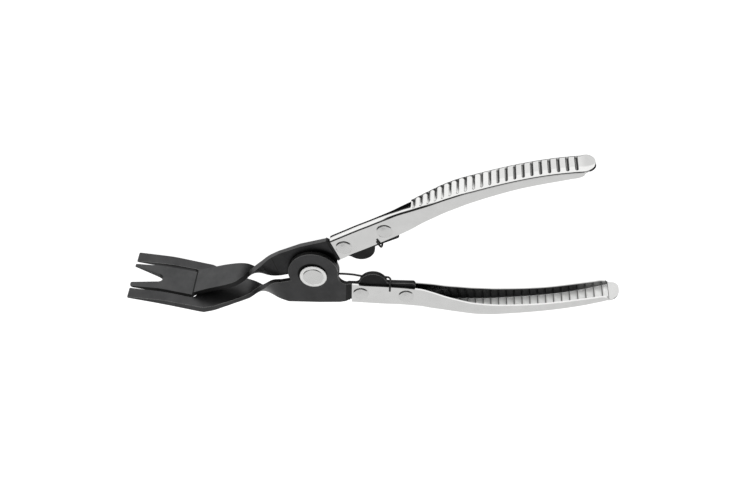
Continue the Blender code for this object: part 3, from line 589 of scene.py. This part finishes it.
def jaw_plate(bm, section, line, thick, z_mid, half, outline):
    """Jaw with two flats: outline holds (distance from root, z) points from the near edge round the tip to the far
    edge. The flat blank is cut across at the soft bend, bent, and joined to the neck's last section by four quads."""
    at, bend, length = line
    flat = bmesh.new()
    top = [flat.verts.new((u, v, 0.0)) for u, v in outline]
    bot = [flat.verts.new((u, v, -1.0)) for u, v in outline]
    flat.faces.new(top)
    flat.faces.new(list(reversed(bot)))
    for i in range(len(top) - 1):
        f = flat.faces.new((top[i + 1], top[i], bot[i], bot[i + 1]))
        (u0, v0), (u1, v1) = outline[i], outline[i + 1]
        run = max(1e-6, math.hypot(u1 - u0, v1 - v0))
        # painted shade: the jaw's inner cut faces take the near-black step steel
        inside = half is None or abs(v0) < half - 1
        if inside and max(v0 - v1, u1 - u0) > 0.5 * run and max(u0, u1) < length - 0.9:
            f.material_index = 2
    lo, hi = bend - BEND_SPAN, bend + BEND_SPAN
    cuts = {round(lo + (hi - lo) * i / BEND_CUTS, 4) for i in range(BEND_CUTS + 1)}
    cuts |= {round(u, 4) for u, _ in outline if lo < u < hi}
    for u in sorted(cuts):
        bmesh.ops.bisect_plane(flat, geom=flat.verts[:] + flat.edges[:] + flat.faces[:], dist=1e-4,
                               plane_co=(u, 0.0, 0.0), plane_no=(1.0, 0.0, 0.0))
    made = {}
    for v in flat.verts:
        u = v.co.x
        t = thick[0] + (thick[1] - thick[0]) * u / bend if u < bend else \
            thick[1] + (thick[2] - thick[1]) * (u - bend) / (length - bend)
        p, n = at(u)
        made[v] = bm.verts.new(p + n * (t * v.co.z) + Vector((0, 0, v.co.y + z_mid)))
    for f in flat.faces:
        bm.faces.new([made[v] for v in f.verts]).material_index = f.material_index
    first_top, last_top, first_bot, last_bot = (made[v] for v in (top[0], top[-1], bot[0], bot[-1]))
    flat.free()
    near_top, near_bot, far_bot, far_top = section
    # painted shade: on the blade the quad at the step from the jaw to the neck takes the near-black step steel
    bm.faces.new((near_top, far_top, last_top, first_top)).material_index = 2 if half is None else 0
    bm.faces.new((near_bot, first_bot, last_bot, far_bot))
    bm.faces.new((near_top, first_top, first_bot, near_bot))
    bm.faces.new((far_top, far_bot, last_bot, last_top))


def build_arm(side, z_mid, neck, steps, outline_of, jaw):
    bm = bmesh.new()
    h = PLATE_T / 2
    c0, w0, n0, hw0 = neck_frame(neck, neck[0][0])
    hi, lo = (c0.x, c0.y + hw0), (c0.x, c0.y - hw0)
    inner, outer = (lo, hi) if side > 0 else (hi, lo)
    outline = boss_and_shank(side, inner, outer)
    front = [bm.verts.new((x, y, z_mid + h)) for x, y in outline]
    back = [bm.verts.new((x, y, z_mid - h)) for x, y in outline]
    bm.faces.new(front)
    bm.faces.new(list(reversed(back)))
    k = len(outline)
    outer_run = len(OUTER[side]) + 1
    for i in range(k - 1):
        # side walls: near-black step steel as painted shade, but lighter lit-side steel as painted light along the
        # blade arm's outer edge
        f = bm.faces.new((front[i + 1], front[i], back[i], back[i + 1]))
        f.material_index = 5 if side > 0 and i >= k - outer_run else 2
    if side > 0:
        prev = [back[-1], front[-1], front[0], back[0]]
    else:
        prev = [back[0], front[0], front[-1], back[-1]]
    xs = [neck[0][0] + (neck[-1][0] - neck[0][0]) * i / steps for i in range(1, steps + 1)]
    root_t = NECK_T[side]
    for x in xs:
        c, w, n, hw = neck_frame(neck, x)
        s = (x - neck[0][0]) / (neck[-1][0] - neck[0][0])
        th = (PLATE_T + (root_t - PLATE_T) * max(0.0, s - 0.6) / 0.4) / 2
        ring = [bm.verts.new(c + w * hw - n * th), bm.verts.new(c + w * hw + n * th),
                bm.verts.new(c - w * hw + n * th), bm.verts.new(c - w * hw - n * th)]
        for i in range(4):
            j = (i + 1) % 4
            f = bm.faces.new((prev[i], prev[j], ring[j], ring[i]))
            # blade neck: its edge face takes the darker shank steel as painted shade beyond x -28.5 and the lit-side
            # steel as painted light nearer the boss; its front face near the boss takes the shaded plate steel, with a
            # narrow near-black band as a painted dark line
            if side > 0 and i == 0:
                f.material_index = 3 if x < -28.5 else 5
            elif side > 0 and i == 1 and x > -22.0:
                f.material_index = 2 if -17.1 < x < -16.5 else 4
        prev = ring
    jaw_plate(bm, prev, *jaw, outline_of())
    a = math.radians(HALF_OPEN)
    along = Vector((math.cos(a), side * math.sin(a), 0.0))
    across = Vector((-math.sin(a), side * math.cos(a), 0.0))
    m0, m1, slant = JOGGLE[side]
    normal = (along - across * slant).normalized()
    for i in range(9):
        bmesh.ops.bisect_plane(bm, geom=bm.verts[:] + bm.edges[:] + bm.faces[:], dist=1e-5,
                               plane_co=along * (m0 + (m1 - m0) * i / 8), plane_no=normal)
    for v in bm.verts:
        s = (v.co.dot(along) - slant * v.co.dot(across) - m0) / (m1 - m0)
        s = max(0.0, min(1.0, s))
        v.co.z -= z_mid * (3 * s * s - 2 * s * s * s)
    bmesh.ops.recalc_face_normals(bm, faces=bm.faces)
    bm.normal_update()
    for f in bm.faces:
        c = f.calc_center_median()
        s = (c.dot(along) - slant * c.dot(across) - m0) / (m1 - m0)
        # painted shade: the joggle's sloping band takes the near-black step steel and the faces past it the darker
        # shank steel; the blade's rear plate face near the boss takes the shaded plate steel
        if abs(f.normal.z) > 0.3 and s > 0:
            f.material_index = 2 if s < 1 else 3
        elif side > 0 and f.normal.z > 0.9 and c.x > -14.0:
            f.material_index = 4
    return bm


def fork_outline():
    length = jaw_line(FORK_ROOT, FORK_BEND, FORK_TIP)[2]
    a, b = FORK_HALF
    c, d = CUT_HALF
    pts = [(1.2, a)]
    pts += [(length - 0.7, b)] + arc(length - 0.7, b - 0.7, 0.7, 90.0, 0.0, 4)[1:]
    pts += arc(length - 0.5, d + 0.5, 0.5, 0.0, -90.0, 4)
    pts += arc(CUT_BASE + 3.0, c - 3.0, 3.0, 90.0, 180.0, 10)
    return pts + [(u, -v) for u, v in reversed(pts)]


def notch_side(length, mouth, steps):
    """One side of the notch as (distance, z) points: from its mouth at the tip along a tangent round to the root."""
    cu, cv = NOTCH_ROOT + NOTCH_R, NOTCH_Z
    du, dv = length - cu, mouth - cv
    dist = math.hypot(du, dv)
    turn = math.acos(NOTCH_R / dist) * (1 if mouth > 0 else -1)
    ang = math.degrees(math.atan2(dv, du) + turn)
    end = 180.0 if mouth > 0 else -180.0
    return [(cu + NOTCH_R * math.cos(math.radians(t)), cv + NOTCH_R * math.sin(math.radians(t)))
            for t in [ang + (end - ang) * i / steps for i in range(steps + 1)]]


def blade_outline():
    length = jaw_line(BLADE_ROOT, BLADE_BEND, BLADE_TIP)[2]
    a, b = BLADE_HALF
    near, far = NOTCH_MOUTH
    pts = [(0.0, a), (length - 1.4, b), (length - 0.7, b - 0.15), (length - 0.25, b - 0.5), (length, b - 1.1),
           (length, near + 0.7), (length - 0.1, near + 0.2), (length - 0.4, near)]
    pts += notch_side(length, near, 16)
    pts += list(reversed(notch_side(length, far, 16)[:-1]))
    return pts + [(length - 0.3, far), (length, far - 0.1), (length - 0.15, -b + 0.05), (length - 0.6, -b), (0.0, -a)]


def soften(ob, width, material, angle=30.0):
    """Round the sharp edges a little, as tumbling leaves them, in the lighter edge finish: partly rubbed wear, partly
    painted highlight.
    """
    m = ob.modifiers.new("edge_round", "BEVEL")
    m.width = width * 0.001
    m.segments = 2
    m.limit_method = "ANGLE"
    m.angle_limit = math.radians(angle)
    m.material = material
    m.harden_normals = False
    m.use_clamp_overlap = True
    apply_modifiers(ob)
    ob.data.shade_smooth()
    ob.data.set_sharp_from_angle(angle=math.radians(60.0))
    w = ob.modifiers.new("face_normals", "WEIGHTED_NORMAL")
    w.keep_sharp = True
    w.weight = 80


fork = finish_mesh(build_arm(-1, FRONT_Z, FORK_NECK, 96, fork_outline, (jaw_line(FORK_ROOT, FORK_BEND, FORK_TIP), FORK_T, 0.0, FORK_HALF[0])),
                   "fork_jaw_visual", [STEEL, EDGE_WEAR_AND_HIGHLIGHT, STEP_SHADE, SHANK])
blade = finish_mesh(build_arm(1, REAR_Z, BLADE_NECK, 96, blade_outline, (jaw_line(BLADE_ROOT, BLADE_BEND, BLADE_TIP), BLADE_T, BLADE_Z, None)),
                    "blade_jaw_visual", [STEEL_B, EDGE_WEAR_AND_HIGHLIGHT, STEP_SHADE, SHANK, PLATE_SHADED, LIT_SIDE])
for side, ob in ((-1, fork), (1, blade)):
    holes = [(PIVOT_HOLE_R, *PIVOT)]
    holes += [(RIVET_HOLE_R, *arm_to_plier(side, x, RIVET_Y)[:2]) for x in RIVETS_X]
    cut_holes(ob, holes)
    soften(ob, 0.2, 1)
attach(fork, "lower_arm")
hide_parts("outer_fork_jaw")
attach(blade, "upper_arm")
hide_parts("notched_blade_jaw")


# ---- handle shells -------------------------------------------------------------------------------------------
def shell_dims(x):
    yo, yi, hz = (hermite(SHELL, x, k) for k in (1, 2, 3))
    back = SHELL_END - x
    if back < END_ROUND:
        s = max(0.0, 1.0 - ((END_ROUND - back) / END_ROUND) ** 2)
        hz = hz * (0.18 + 0.82 * math.sqrt(s))
    return yo, yi, hz


def groove_at(x):
    """0 on the lands to 1 on the floor of a groove, and the place on the land as -1 to 1."""
    k = round((x - RIB_FIRST) / RIB_PITCH)
    k = max(0, min(RIB_COUNT - 1, k))
    u = (x - RIB_FIRST - k * RIB_PITCH) / RIB_HALF
    g = (1 - u * u) ** 2 if abs(u) < 1 else 0.0
    land = 0.0
    span = RIB_PITCH - 2 * RIB_HALF
    pos = (x - RIB_FIRST) / RIB_PITCH
    if 0 < pos < RIB_COUNT - 1 and abs(u) >= 1:
        f = (pos - math.floor(pos)) * RIB_PITCH
        land = (f - RIB_PITCH / 2) / (span / 2)
        land = max(0.0, 1 - land * land)
    return g, land


def press(x, z, hz):
    """How far the web is pressed in at this place, and the groove's share of it."""
    g, land = groove_at(x)
    flat = hz - WEB_BEND_R
    across = 1 - smooth(flat - 0.5, flat + (0.7 if z > 0 else 1.3), abs(z))
    a, b, c, d = SHOULDER_SPAN
    ends = 1 - smooth(c, d, x)
    far = max(0.0, 0.4 - z)
    fall = FAR_ROUND * far * far * (1 - smooth(a, b, x)) * ends
    in_from = z - (hz - 2.15 + 0.55 * smooth(44.0, 58.0, x))
    slope = SHOULDER * (math.sqrt(in_from * in_from + 0.16) - 0.4) * smooth(a, b, x) * ends if in_from < 0 else 0.0
    return g * RIB_DEPTH * across - RIB_CROWN * land * across + fall + slope, g * across


def outside_shade_mark(x, z, hz, groove):
    """Painted shade on the web's outside: grooves, paler towards the near side in the front rows, each with a hook
    running forward along the far edge there."""
    early = 1 - smooth(88.0, 112.0, x)
    shade_mark = groove * (1 - 0.8 * early * smooth(-0.3 * hz, 0.75 * hz, z))
    if x < 62.6:
        reach = -hz + 2.3 + 3.3 * smooth(48.0, 66.0, x)
        shade_mark = max(shade_mark, (0.83 + 0.03 * smooth(40.0, 56.0, x)) * (1 - smooth(reach - 0.25, reach + 0.2, z)))
    else:
        late = smooth(85.0, 110.0, x)
        shade_mark = max(shade_mark, 0.83 * smooth(66.0, 90.0, x) * (1 - smooth(140.5, 142.0, x)) * (1 - smooth(-hz + 0.7, -hz + 1.15, z)))
        tone = 0.30 * late + 0.09 * smooth(RIB_FIRST + RIB_PITCH * (RIB_COUNT - 1) + 0.8, SHELL_END - 3.0, x)
        shade_mark = max(shade_mark, tone * (1 - smooth(0.3 * hz, 0.8 * hz, z)))
    ahead = (RIB_FIRST + RIB_PITCH * math.ceil((x - RIB_FIRST) / RIB_PITCH) - x) / RIB_PITCH
    if RIB_FIRST - 0.5 * RIB_PITCH < x < RIB_FIRST + RIB_PITCH * (RIB_COUNT - 1) and ahead < 0.6:
        reach = -hz + 2.2 * (1 - ahead / 0.6) + 0.5
        shade_mark = max(shade_mark, early * (1 - smooth(reach, reach + 0.7, z)) * (1 - 0.4 * ahead / 0.6))
    return shade_mark


def inside_shade_mark(x, y, z, yo, yi, hz, groove):
    """Painted shade on the channel's dull inside: deep on the far wall, rows of a softer tone across the web."""
    wall = 1 - smooth(-hz + 0.9, -hz + 1.6, z)
    front = 1 - smooth(66.0, 86.0, x)
    web = (0.36 + 0.45 * front) * (1 - smooth(-hz + 1.2, -hz + 1.2 + hz * (1.0 + 0.9 * front), z))
    pos = (x - RIB_FIRST) / RIB_PITCH
    row = 0.24 * (pos - math.floor(pos)) if 0 < pos < RIB_COUNT - 1 else 0.0
    return max(wall * (0.9 - 0.2 * smooth(120.0, 140.0, x)), web, web * 0.7 + row, groove * groove * 0.85)


def shell_stations():
    xs = [SHELL_FRONT]
    while xs[-1] < SHELL_END - END_ROUND - 1e-6:
        x = xs[-1]
        step = 1.2 if x < 44 else (0.5 if x < 61 else 0.186)
        xs.append(min(x + step, SHELL_END - END_ROUND))
    for i in range(1, 33):
        xs.append(SHELL_END - END_ROUND + END_ROUND * math.sin(math.pi / 2 * i / 32))
    inner_end = CHANNEL_END
    near = min(range(len(xs)), key=lambda i: abs(xs[i] - inner_end))
    xs[near] = inner_end
    return xs, near


def shell_profile(side, x, first, inset):
    """One cross-section from the near flange's edge over the web to the far flange's edge, in arm y and z."""
    yo, yi, hz = shell_dims(x)
    half_web = hz
    yo_in, hz_in = yo - inset, hz - inset
    if inset:
        hz_in = max(hz_in, 0.3)
    r = max(0.15, min(WEB_BEND_R - inset, hz_in * 0.8, (yo_in - yi) * 0.6))
    flange, bend, web = 7, 7, 22
    out = []
    base = min(yi, yo_in - r - 0.05)
    for i in range(flange):
        t = i / flange
        out.append((base + (yo_in - r - base) * t, hz_in))
    for i in range(bend + 1):
        t = math.pi / 2 * i / bend
        out.append((yo_in - r + r * math.sin(t), hz_in - r + r * math.cos(t)))
    for i in range(1, web):
        t = i / web
        out.append((yo_in, (hz_in - r) * (1 - 2 * t)))
    for i in range(bend + 1):
        t = math.pi / 2 * (1 - i / bend)
        out.append((yo_in - r + r * math.sin(t), -(hz_in - r + r * math.cos(t))))
    for i in range(1, flange + 1):
        t = 1 - i / flange
        out.append((base + (yo_in - r - base) * t, -hz_in))
    cut = REAR_CUT[0] * (1 - smooth(REAR_CUT[1], REAR_CUT[2], x))
    if cut > 0:
        n = len(out)
        for i in range(flange + 1):
            y, z = out[n - 1 - i]
            out[n - 1 - i] = (y + cut * (1 - i / flange), z)
    done, shade_marks = [], []
    for i, (y, z) in enumerate(out):
        up = smooth(yo_in - r * 1.02, yo_in - r * 0.35, y)
        push, groove = press(x, z, half_web)
        done.append((y - push * up, z))
        if inset:
            shade_marks.append(inside_shade_mark(x, y, z, yo_in, yi, half_web, groove * up))
            continue
        shade_mark = outside_shade_mark(x, z, half_web, groove) * (1.0 if z < 0 and x < 62.6 and y > yo_in - r else up)
        # painted shade: a dark line along the near bend between x 46 and 80
        if z > 0.0 and yo_in - r * 0.52 < y < yo_in - r * 0.14:
            shade_mark = max(shade_mark, 0.85 * smooth(46.0, 51.0, x) * (1 - smooth(68.0, 80.0, x)))
        # painted shade: a dark line round the tip's rim
        if i > 0 and z > 0.25 * half_web and y < yo_in - 0.1:
            shade_mark = max(shade_mark, 0.85 * smooth(SHELL_END - 3.2, SHELL_END - 2.3, x))
        shade_marks.append(shade_mark)
    return done, shade_marks


def build_shell(side):
    bm = bmesh.new()
    # the 'groove' layer holds the painted shade that the nickel finishes read
    shade_mark = bm.verts.layers.float.new("groove")
    xs, last = shell_stations()
    lean = FRONT_SLANT[side]

    def ring(x, inset):
        pts, shade_marks = shell_profile(side, x, False, inset)
        fade = 1 - smooth(SHELL_FRONT, SHELL_FRONT + 3.0, x)
        vs = []
        # painted shade: the flanges' edges beyond the channel a little darker
        if x > CHANNEL_END + 0.2 and not inset:
            shade_marks[0] = shade_marks[-1] = 0.33
        for (y, z), g in zip(pts, shade_marks):
            v = bm.verts.new(arm_to_plier(side, x + lean * (y - 11.0) * fade, y, z))
            v[shade_mark] = g
            vs.append(v)
        return vs

    outer = [ring(x, 0.0) for x in xs]
    inner = [ring(x, SHEET_T) for x in xs[:last + 1]]
    for rings, flip in ((outer, False), (inner, True)):
        for a, b in zip(rings, rings[1:]):
            for i in range(len(a) - 1):
                q = (a[i], a[i + 1], b[i + 1], b[i])
                f = bm.faces.new(tuple(reversed(q)) if flip else q)
                f.material_index = 1 if flip and 13 < i < 37 else 0
    n = len(outer[0])
    for i in range(n - 1):
        bm.faces.new((outer[0][i + 1], outer[0][i], inner[0][i], inner[0][i + 1]))
    for a, b, c, d in zip(outer[:last + 1], outer[1:last + 1], inner, inner[1:]):
        bm.faces.new((a[0], b[0], d[0], c[0]))
        bm.faces.new((b[-1], a[-1], c[-1], d[-1]))
    # channel's blind end, then the rim and the tip beyond it
    bm.faces.new(inner[last])
    o = outer[last]
    p = outer[last + 1]
    bm.faces.new((o[0], inner[last][0], inner[last][-1], o[-1], p[-1], p[0]))
    for a, b in zip(outer[last + 1:], outer[last + 2:]):
        bm.faces.new((a[0], a[-1], b[-1], b[0]))
    bm.faces.new(outer[-1])
    return bm


for side, word, body, mats in ((-1, "lower", "lower_arm", [NICKEL_LOW, NICKEL_IN_LOW]),
                               (1, "upper", "upper_arm", [NICKEL_UP, NICKEL_IN_UP])):
    shell = finish_mesh(build_shell(side), word + "_handle_visual", mats, angle=50.0)
    cut_holes(shell, [(RIVET_HOLE_R, *arm_to_plier(side, x, RIVET_Y)[:2]) for x in RIVETS_X])
    shell.data.shade_smooth()
    shell.data.set_sharp_from_angle(angle=math.radians(50.0))
    m = shell.modifiers.new("sheared_edge", "BEVEL")
    m.width = 0.00014
    m.segments = 2
    m.limit_method = "ANGLE"
    m.angle_limit = math.radians(60.0)
    m.use_clamp_overlap = True
    m.harden_normals = True
    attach(shell, body)
    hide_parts(word + "_handle_shell")

    # rivets: a low dome inside a short steep rim, the same at both ends
    for x, spot in zip(RIVETS_X, ("front", "rear")):
        cx, cy, _ = arm_to_plier(side, x, RIVET_Y)
        z0 = 2.45 + 0.05
        z1 = z0 + 0.98
        wall = [(RIVET_R, z0 - 1.0), (RIVET_R, z0), (RIVET_HEAD_R - 0.04, z0), (RIVET_HEAD_R, z0 + 0.04),
                (RIVET_HEAD_R - 0.22, z0 + 0.21), (RIVET_HEAD_R - 0.44, z0 + 0.38), (RIVET_HEAD_R - 0.58, z0 + 0.43)]
        reach = RIVET_HEAD_R - 0.58
        dome = [(reach * (1 - i / 9), z0 + 0.43 + 0.26 * (1 - (1 - i / 9) ** 2)
                 + (z1 - z0 - 0.69) * smooth(0.0, 1.0, i / 9)) for i in range(1, 9)]
        head = wall + dome
        prof = [(0.0, -z1)] + [(r, -z) for r, z in reversed(head)] + head + [(0.0, z1)]
        rv = finish_mesh(turned(prof, 72, cx, cy), "%s_rivet_%s_visual" % (word, spot), [NICKEL_RIVET], 40.0)
        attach(rv, body)
        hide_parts("%s_handle_rivet_%s" % (word, spot))

# ---- pivot rivet and rear washer -----------------------------------------------------------------------------
top = FRONT_Z + PLATE_T / 2 + 0.25
coil_low = COIL_TOP - COIL_PITCH * COIL_TURNS - WIRE_R
wash_hi = coil_low - GAP
wash_lo = wash_hi - 0.8
tail = wash_lo - 0.25
crown_top = top + PIVOT_FLANGE_T + PIVOT_CROWN_T
profile = rounded([(0.0, tail - 1.0), (1.2, tail - 1.1), (2.6, tail - 1.1), (4.0, tail - 0.75), (4.5, tail - 0.25), (4.5, tail),
                   (PIVOT_SHANK_R, tail), (PIVOT_SHANK_R, top), (PIVOT_FLANGE_R - 0.05, top),
                   (PIVOT_FLANGE_R, top + PIVOT_FLANGE_T - 0.16), (PIVOT_FLANGE_R - 0.2, top + PIVOT_FLANGE_T),
                   (PIVOT_CROWN_R + 0.12, top + PIVOT_FLANGE_T - 0.04), (PIVOT_CROWN_R - 0.16, crown_top - 0.03),
                   (PIVOT_CROWN_R - 0.9, crown_top), (2.6, crown_top - 0.05), (1.2, crown_top - 0.07),
                   (0.0, crown_top - 0.07)], 0.16, 4)
head = turned(profile, 120, *PIVOT)
for f in head.faces:
    c = f.calc_center_median()
    if c.z > top + 0.2 and math.hypot(c.x - PIVOT[0], c.y - PIVOT[1]) > PIVOT_CROWN_R + 0.15:
        f.material_index = 1
pivot = finish_mesh(head, "pivot_rivet_visual", [NICKEL_PIVOT, RIM], 40.0)
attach(pivot, "lower_arm")
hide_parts("pivot_rivet")

ring = rounded([(PIVOT_SHANK_R + GAP, wash_lo), (6.2, wash_lo), (6.2, wash_hi), (PIVOT_SHANK_R + GAP, wash_hi)], 0.16, 3, True)
wb = bmesh.new()
rows = [[wb.verts.new((PIVOT[0] + r * math.cos(2 * math.pi * i / 96), PIVOT[1] + r * math.sin(2 * math.pi * i / 96), z))
         for i in range(96)] for r, z in ring]
for a, b in zip(rows, rows[1:] + rows[:1]):
    for i in range(96):
        j = (i + 1) % 96
        wb.faces.new((a[i], a[j], b[j], b[i]))
washer = finish_mesh(wb, "rear_washer_visual", [ZINC], 45.0)
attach(washer, "lower_arm")
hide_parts("rear_washer")


# ---- torsion spring ------------------------------------------------------------------------------------------
def leg_points(side, z_coil):
    behind = -(PLATE_T / 2 + GAP + WIRE_R)
    crest = SHANK_IN - GAP - WIRE_R - 0.1
    over = 2.45 + GAP + WIRE_R
    end = 5.7 if side < 0 else 6.1
    hook_x = 37.3 if side < 0 else 39.4
    return [(6.0, 3.75, z_coil), (13.0, 2.95, z_coil + 0.15), (18.5, 2.45, (z_coil + behind) / 2 - 0.4),
            (24.0, 1.95, behind - 0.25), (30.0, 1.5, behind - 0.1), (hook_x - 2.4, crest, behind),
            (hook_x - 0.8, crest - 0.1, behind + 0.35), (hook_x, crest - 0.15, behind + 1.6),
            (hook_x, crest - 0.15, 0.6), (hook_x, crest, over - 1.3), (hook_x, crest + 0.75, over - 0.2),
            (hook_x, crest + 1.9, over), (hook_x, end, over)]


def spring_points():
    a = math.radians(HALF_OPEN)
    z_end = COIL_TOP - COIL_PITCH * COIL_TURNS
    lower = [arm_to_plier(-1, *p) for p in leg_points(-1, COIL_TOP)]
    upper = [arm_to_plier(1, *p) for p in leg_points(1, z_end)]
    start = -math.pi / 2 - a
    turn = -(2 * math.pi * COIL_TURNS - 2 * a)
    coil = []
    for i in range(53):
        t = start + turn * i / 52
        coil.append((PIVOT[0] + COIL_R * math.cos(t), PIVOT[1] + COIL_R * math.sin(t),
                     COIL_TOP + (z_end - COIL_TOP) * i / 52))
    return smooth_route(list(reversed(lower)) + coil + upper, 460)


def smooth_route(route, count):
    """Chord-length Catmull-Rom curve through the route, resampled evenly."""
    pts = [Vector(p) for p in route]
    pts = [pts[0] * 2 - pts[1]] + pts + [pts[-1] * 2 - pts[-2]]
    dense = []
    for i in range(1, len(pts) - 2):
        p0, p1, p2, p3 = pts[i - 1:i + 3]
        t0 = 0.0
        t1 = t0 + max(1e-6, (p1 - p0).length) ** 0.5
        t2 = t1 + max(1e-6, (p2 - p1).length) ** 0.5
        t3 = t2 + max(1e-6, (p3 - p2).length) ** 0.5
        for k in range(12):
            t = t1 + (t2 - t1) * k / 12
            a1 = p0 * ((t1 - t) / (t1 - t0)) + p1 * ((t - t0) / (t1 - t0))
            a2 = p1 * ((t2 - t) / (t2 - t1)) + p2 * ((t - t1) / (t2 - t1))
            a3 = p2 * ((t3 - t) / (t3 - t2)) + p3 * ((t - t2) / (t3 - t2))
            b1 = a1 * ((t2 - t) / (t2 - t0)) + a2 * ((t - t0) / (t2 - t0))
            b2 = a2 * ((t3 - t) / (t3 - t1)) + a3 * ((t - t1) / (t3 - t1))
            dense.append(b1 * ((t2 - t) / (t2 - t1)) + b2 * ((t - t1) / (t2 - t1)))
    dense.append(pts[-2])
    total = sum((b - a).length for a, b in zip(dense, dense[1:]))
    out, goal, run = [dense[0]], total / count, 0.0
    for a, b in zip(dense, dense[1:]):
        seg = (b - a).length
        while seg > 0 and run + seg >= goal - 1e-9 and len(out) < count:
            out.append(a.lerp(b, (goal - run) / seg))
            goal += total / count
        run += seg
    out.append(dense[-1])
    return out


def wire(route, radius, sides):
    """Round wire swept along the route with turned-over ends."""
    bm = bmesh.new()
    rings = []
    up = Vector((0, 0, 1))
    n = len(route)
    for i, p in enumerate(route):
        t = (route[min(i + 1, n - 1)] - route[max(i - 1, 0)]).normalized()
        up = (up - t * up.dot(t)).normalized()
        side = t.cross(up)
        rings.append([bm.verts.new(p + (up * math.cos(2 * math.pi * k / sides) + side * math.sin(2 * math.pi * k / sides)) * radius)
                      for k in range(sides)])
    for a, b in zip(rings, rings[1:]):
        for k in range(sides):
            j = (k + 1) % sides
            bm.faces.new((a[k], a[j], b[j], b[k]))
    for ring_, centre, nxt in ((rings[0], route[0], route[1]), (rings[-1], route[-1], route[-2])):
        d = (centre - nxt).normalized()
        prev = ring_
        for f in (0.35, 0.7, 0.92):
            s = math.sqrt(1 - f * f)
            now = [bm.verts.new(centre + d * radius * 0.45 * f + (v.co - centre) * s) for v in ring_]
            for k in range(sides):
                j = (k + 1) % sides
                bm.faces.new((prev[k], prev[j], now[j], now[k]))
            prev = now
        bm.faces.new(prev)
    return bm


spring = finish_mesh(wire(spring_points(), WIRE_R, 16), "torsion_spring_visual", [WIRE], 60.0)
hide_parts("torsion_spring")
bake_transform(spring)


# ---- floor, light, camera ------------------------------------------------------------------------------------
def build_floor():
    bm = bmesh.new()
    s = 4.0
    vs = [bm.verts.new(p) for p in ((-s, -s, 0.0), (s, -s, 0.0), (s, s, 0.0), (-s, s, 0.0))]
    bm.faces.new(vs)
    me = bpy.data.meshes.new("studio_floor")
    bm.to_mesh(me)
    bm.free()
    ob = bpy.data.objects.new("studio_floor", me)
    bpy.context.scene.collection.objects.link(ob)
    m, nt, b = nodes_of("pale_floor")
    b.inputs["Roughness"].default_value = 0.9
    b.inputs["Specular IOR Level"].default_value = 0.0
    soft = noise(nt, coords(nt, (1.0, 1.0, 1.0)), 3.0, 2.0, 0.5)
    nt.links.new(blend_rgb(nt, soft, (0.20, 0.20, 0.20), (0.23, 0.23, 0.23)), b.inputs["Base Color"])
    nt.links.new(blend_rgb(nt, soft, (0.96, 0.96, 0.96), (0.98, 0.98, 0.98)), b.inputs["Emission Color"])
    b.inputs["Emission Strength"].default_value = 1.0
    me.materials.append(m)
    ob.visible_glossy = False
    return ob


def build_world():
    """Soft studio round the tool: bright low sides, a dim band under it and a dark gap above on the viewer's side."""
    w = bpy.data.worlds.new("soft_studio")
    bpy.context.scene.world = w
    w.use_nodes = True
    nt = w.node_tree
    bg = nt.nodes["Background"]
    tc = node(nt, "ShaderNodeTexCoord")
    sep = node(nt, "ShaderNodeSeparateXYZ")
    nt.links.new(tc.outputs["Generated"], sep.inputs[0])
    x, y, z = sep.outputs

    def step(value, lo, hi, a=0.0, b=1.0):
        n = node(nt, "ShaderNodeMapRange", interpolation_type="SMOOTHSTEP")
        n.inputs["From Min"].default_value = lo
        n.inputs["From Max"].default_value = hi
        n.inputs["To Min"].default_value = a
        n.inputs["To Max"].default_value = b
        nt.links.new(value, n.inputs["Value"])
        return n.outputs["Result"]

    absy = math_node(nt, "ABSOLUTE", y, 0.0)
    # below the horizon: bright to both sides, dim in a band straight under
    low = math_node(nt, "ADD", 0.03, math_node(nt, "MULTIPLY", 0.97, step(absy, 0.30, 0.40)))
    # above: bright behind the blade arm, half bright on the other side, dark in a slanting gap
    slant = math_node(nt, "SUBTRACT", y, math_node(nt, "MULTIPLY", x, 0.28))
    back = step(y, 0.0, 0.3)
    over = math_node(nt, "ADD", 0.66, math_node(nt, "MULTIPLY", back, 0.34))
    gap = math_node(nt, "MAXIMUM", step(slant, 0.67, 0.77), step(y, -0.27, -0.17, 1.0, 0.0))
    lift = step(z, 0.25, 0.45, 1.0, 0.0)
    lamp = step(z, 0.970, 0.985, 0.0, 0.8)
    gap = math_node(nt, "MAXIMUM", gap, math_node(nt, "MAXIMUM", lift, lamp))
    over = math_node(nt, "MULTIPLY", over, math_node(nt, "ADD", 0.03, math_node(nt, "MULTIPLY", gap, 0.97)))
    up = step(z, -0.12, 0.12)
    total = math_node(nt, "ADD", math_node(nt, "MULTIPLY", low, math_node(nt, "SUBTRACT", 1.0, up)),
                      math_node(nt, "MULTIPLY", over, up))
    nt.links.new(total, bg.inputs["Color"])
    bg.inputs["Strength"].default_value = 1.0


def build_light(name, place_at, aim, size, power, glossy):
    la = bpy.data.lights.new(name, "AREA")
    la.shape = "RECTANGLE"
    la.size, la.size_y = size
    la.energy = power
    ob = bpy.data.objects.new(name, la)
    bpy.context.scene.collection.objects.link(ob)
    ob.location = place_at
    ob.rotation_mode = "QUATERNION"
    ob.rotation_quaternion = (Vector(aim) - Vector(place_at)).to_track_quat("-Z", "Y")
    ob.visible_glossy = glossy
    return ob


build_floor()
build_world()
build_light("overhead_softbox", (0.0, 0.25, 1.6), (0.0, 0.0, 0.0), (2.2, 2.2), 34.0, False)

cam = bpy.data.cameras.new("photo_camera")
cam.sensor_width = 36.0
cam.lens = 1253.954 / 750 * 36.0
cam.clip_start, cam.clip_end = 0.01, 50.0
camera = bpy.data.objects.new("photo_camera", cam)
bpy.context.scene.collection.objects.link(camera)
eye = Matrix(((0.9662026, 0.149435, 0.2100517, 156.9926),
              (-0.2516049, 0.7240104, 0.6422647, 387.4466),
              (-0.0561028, -0.6734079, 0.7371393, 434.5313),
              (0.0, 0.0, 0.0, 1.0)))
seen = PLACE @ eye
loc, rot, _ = seen.decompose()
camera.rotation_mode = "QUATERNION"
camera.location = loc
camera.rotation_quaternion = rot
bpy.context.scene.camera = camera
bpy.context.scene.view_settings.view_transform = "Standard"
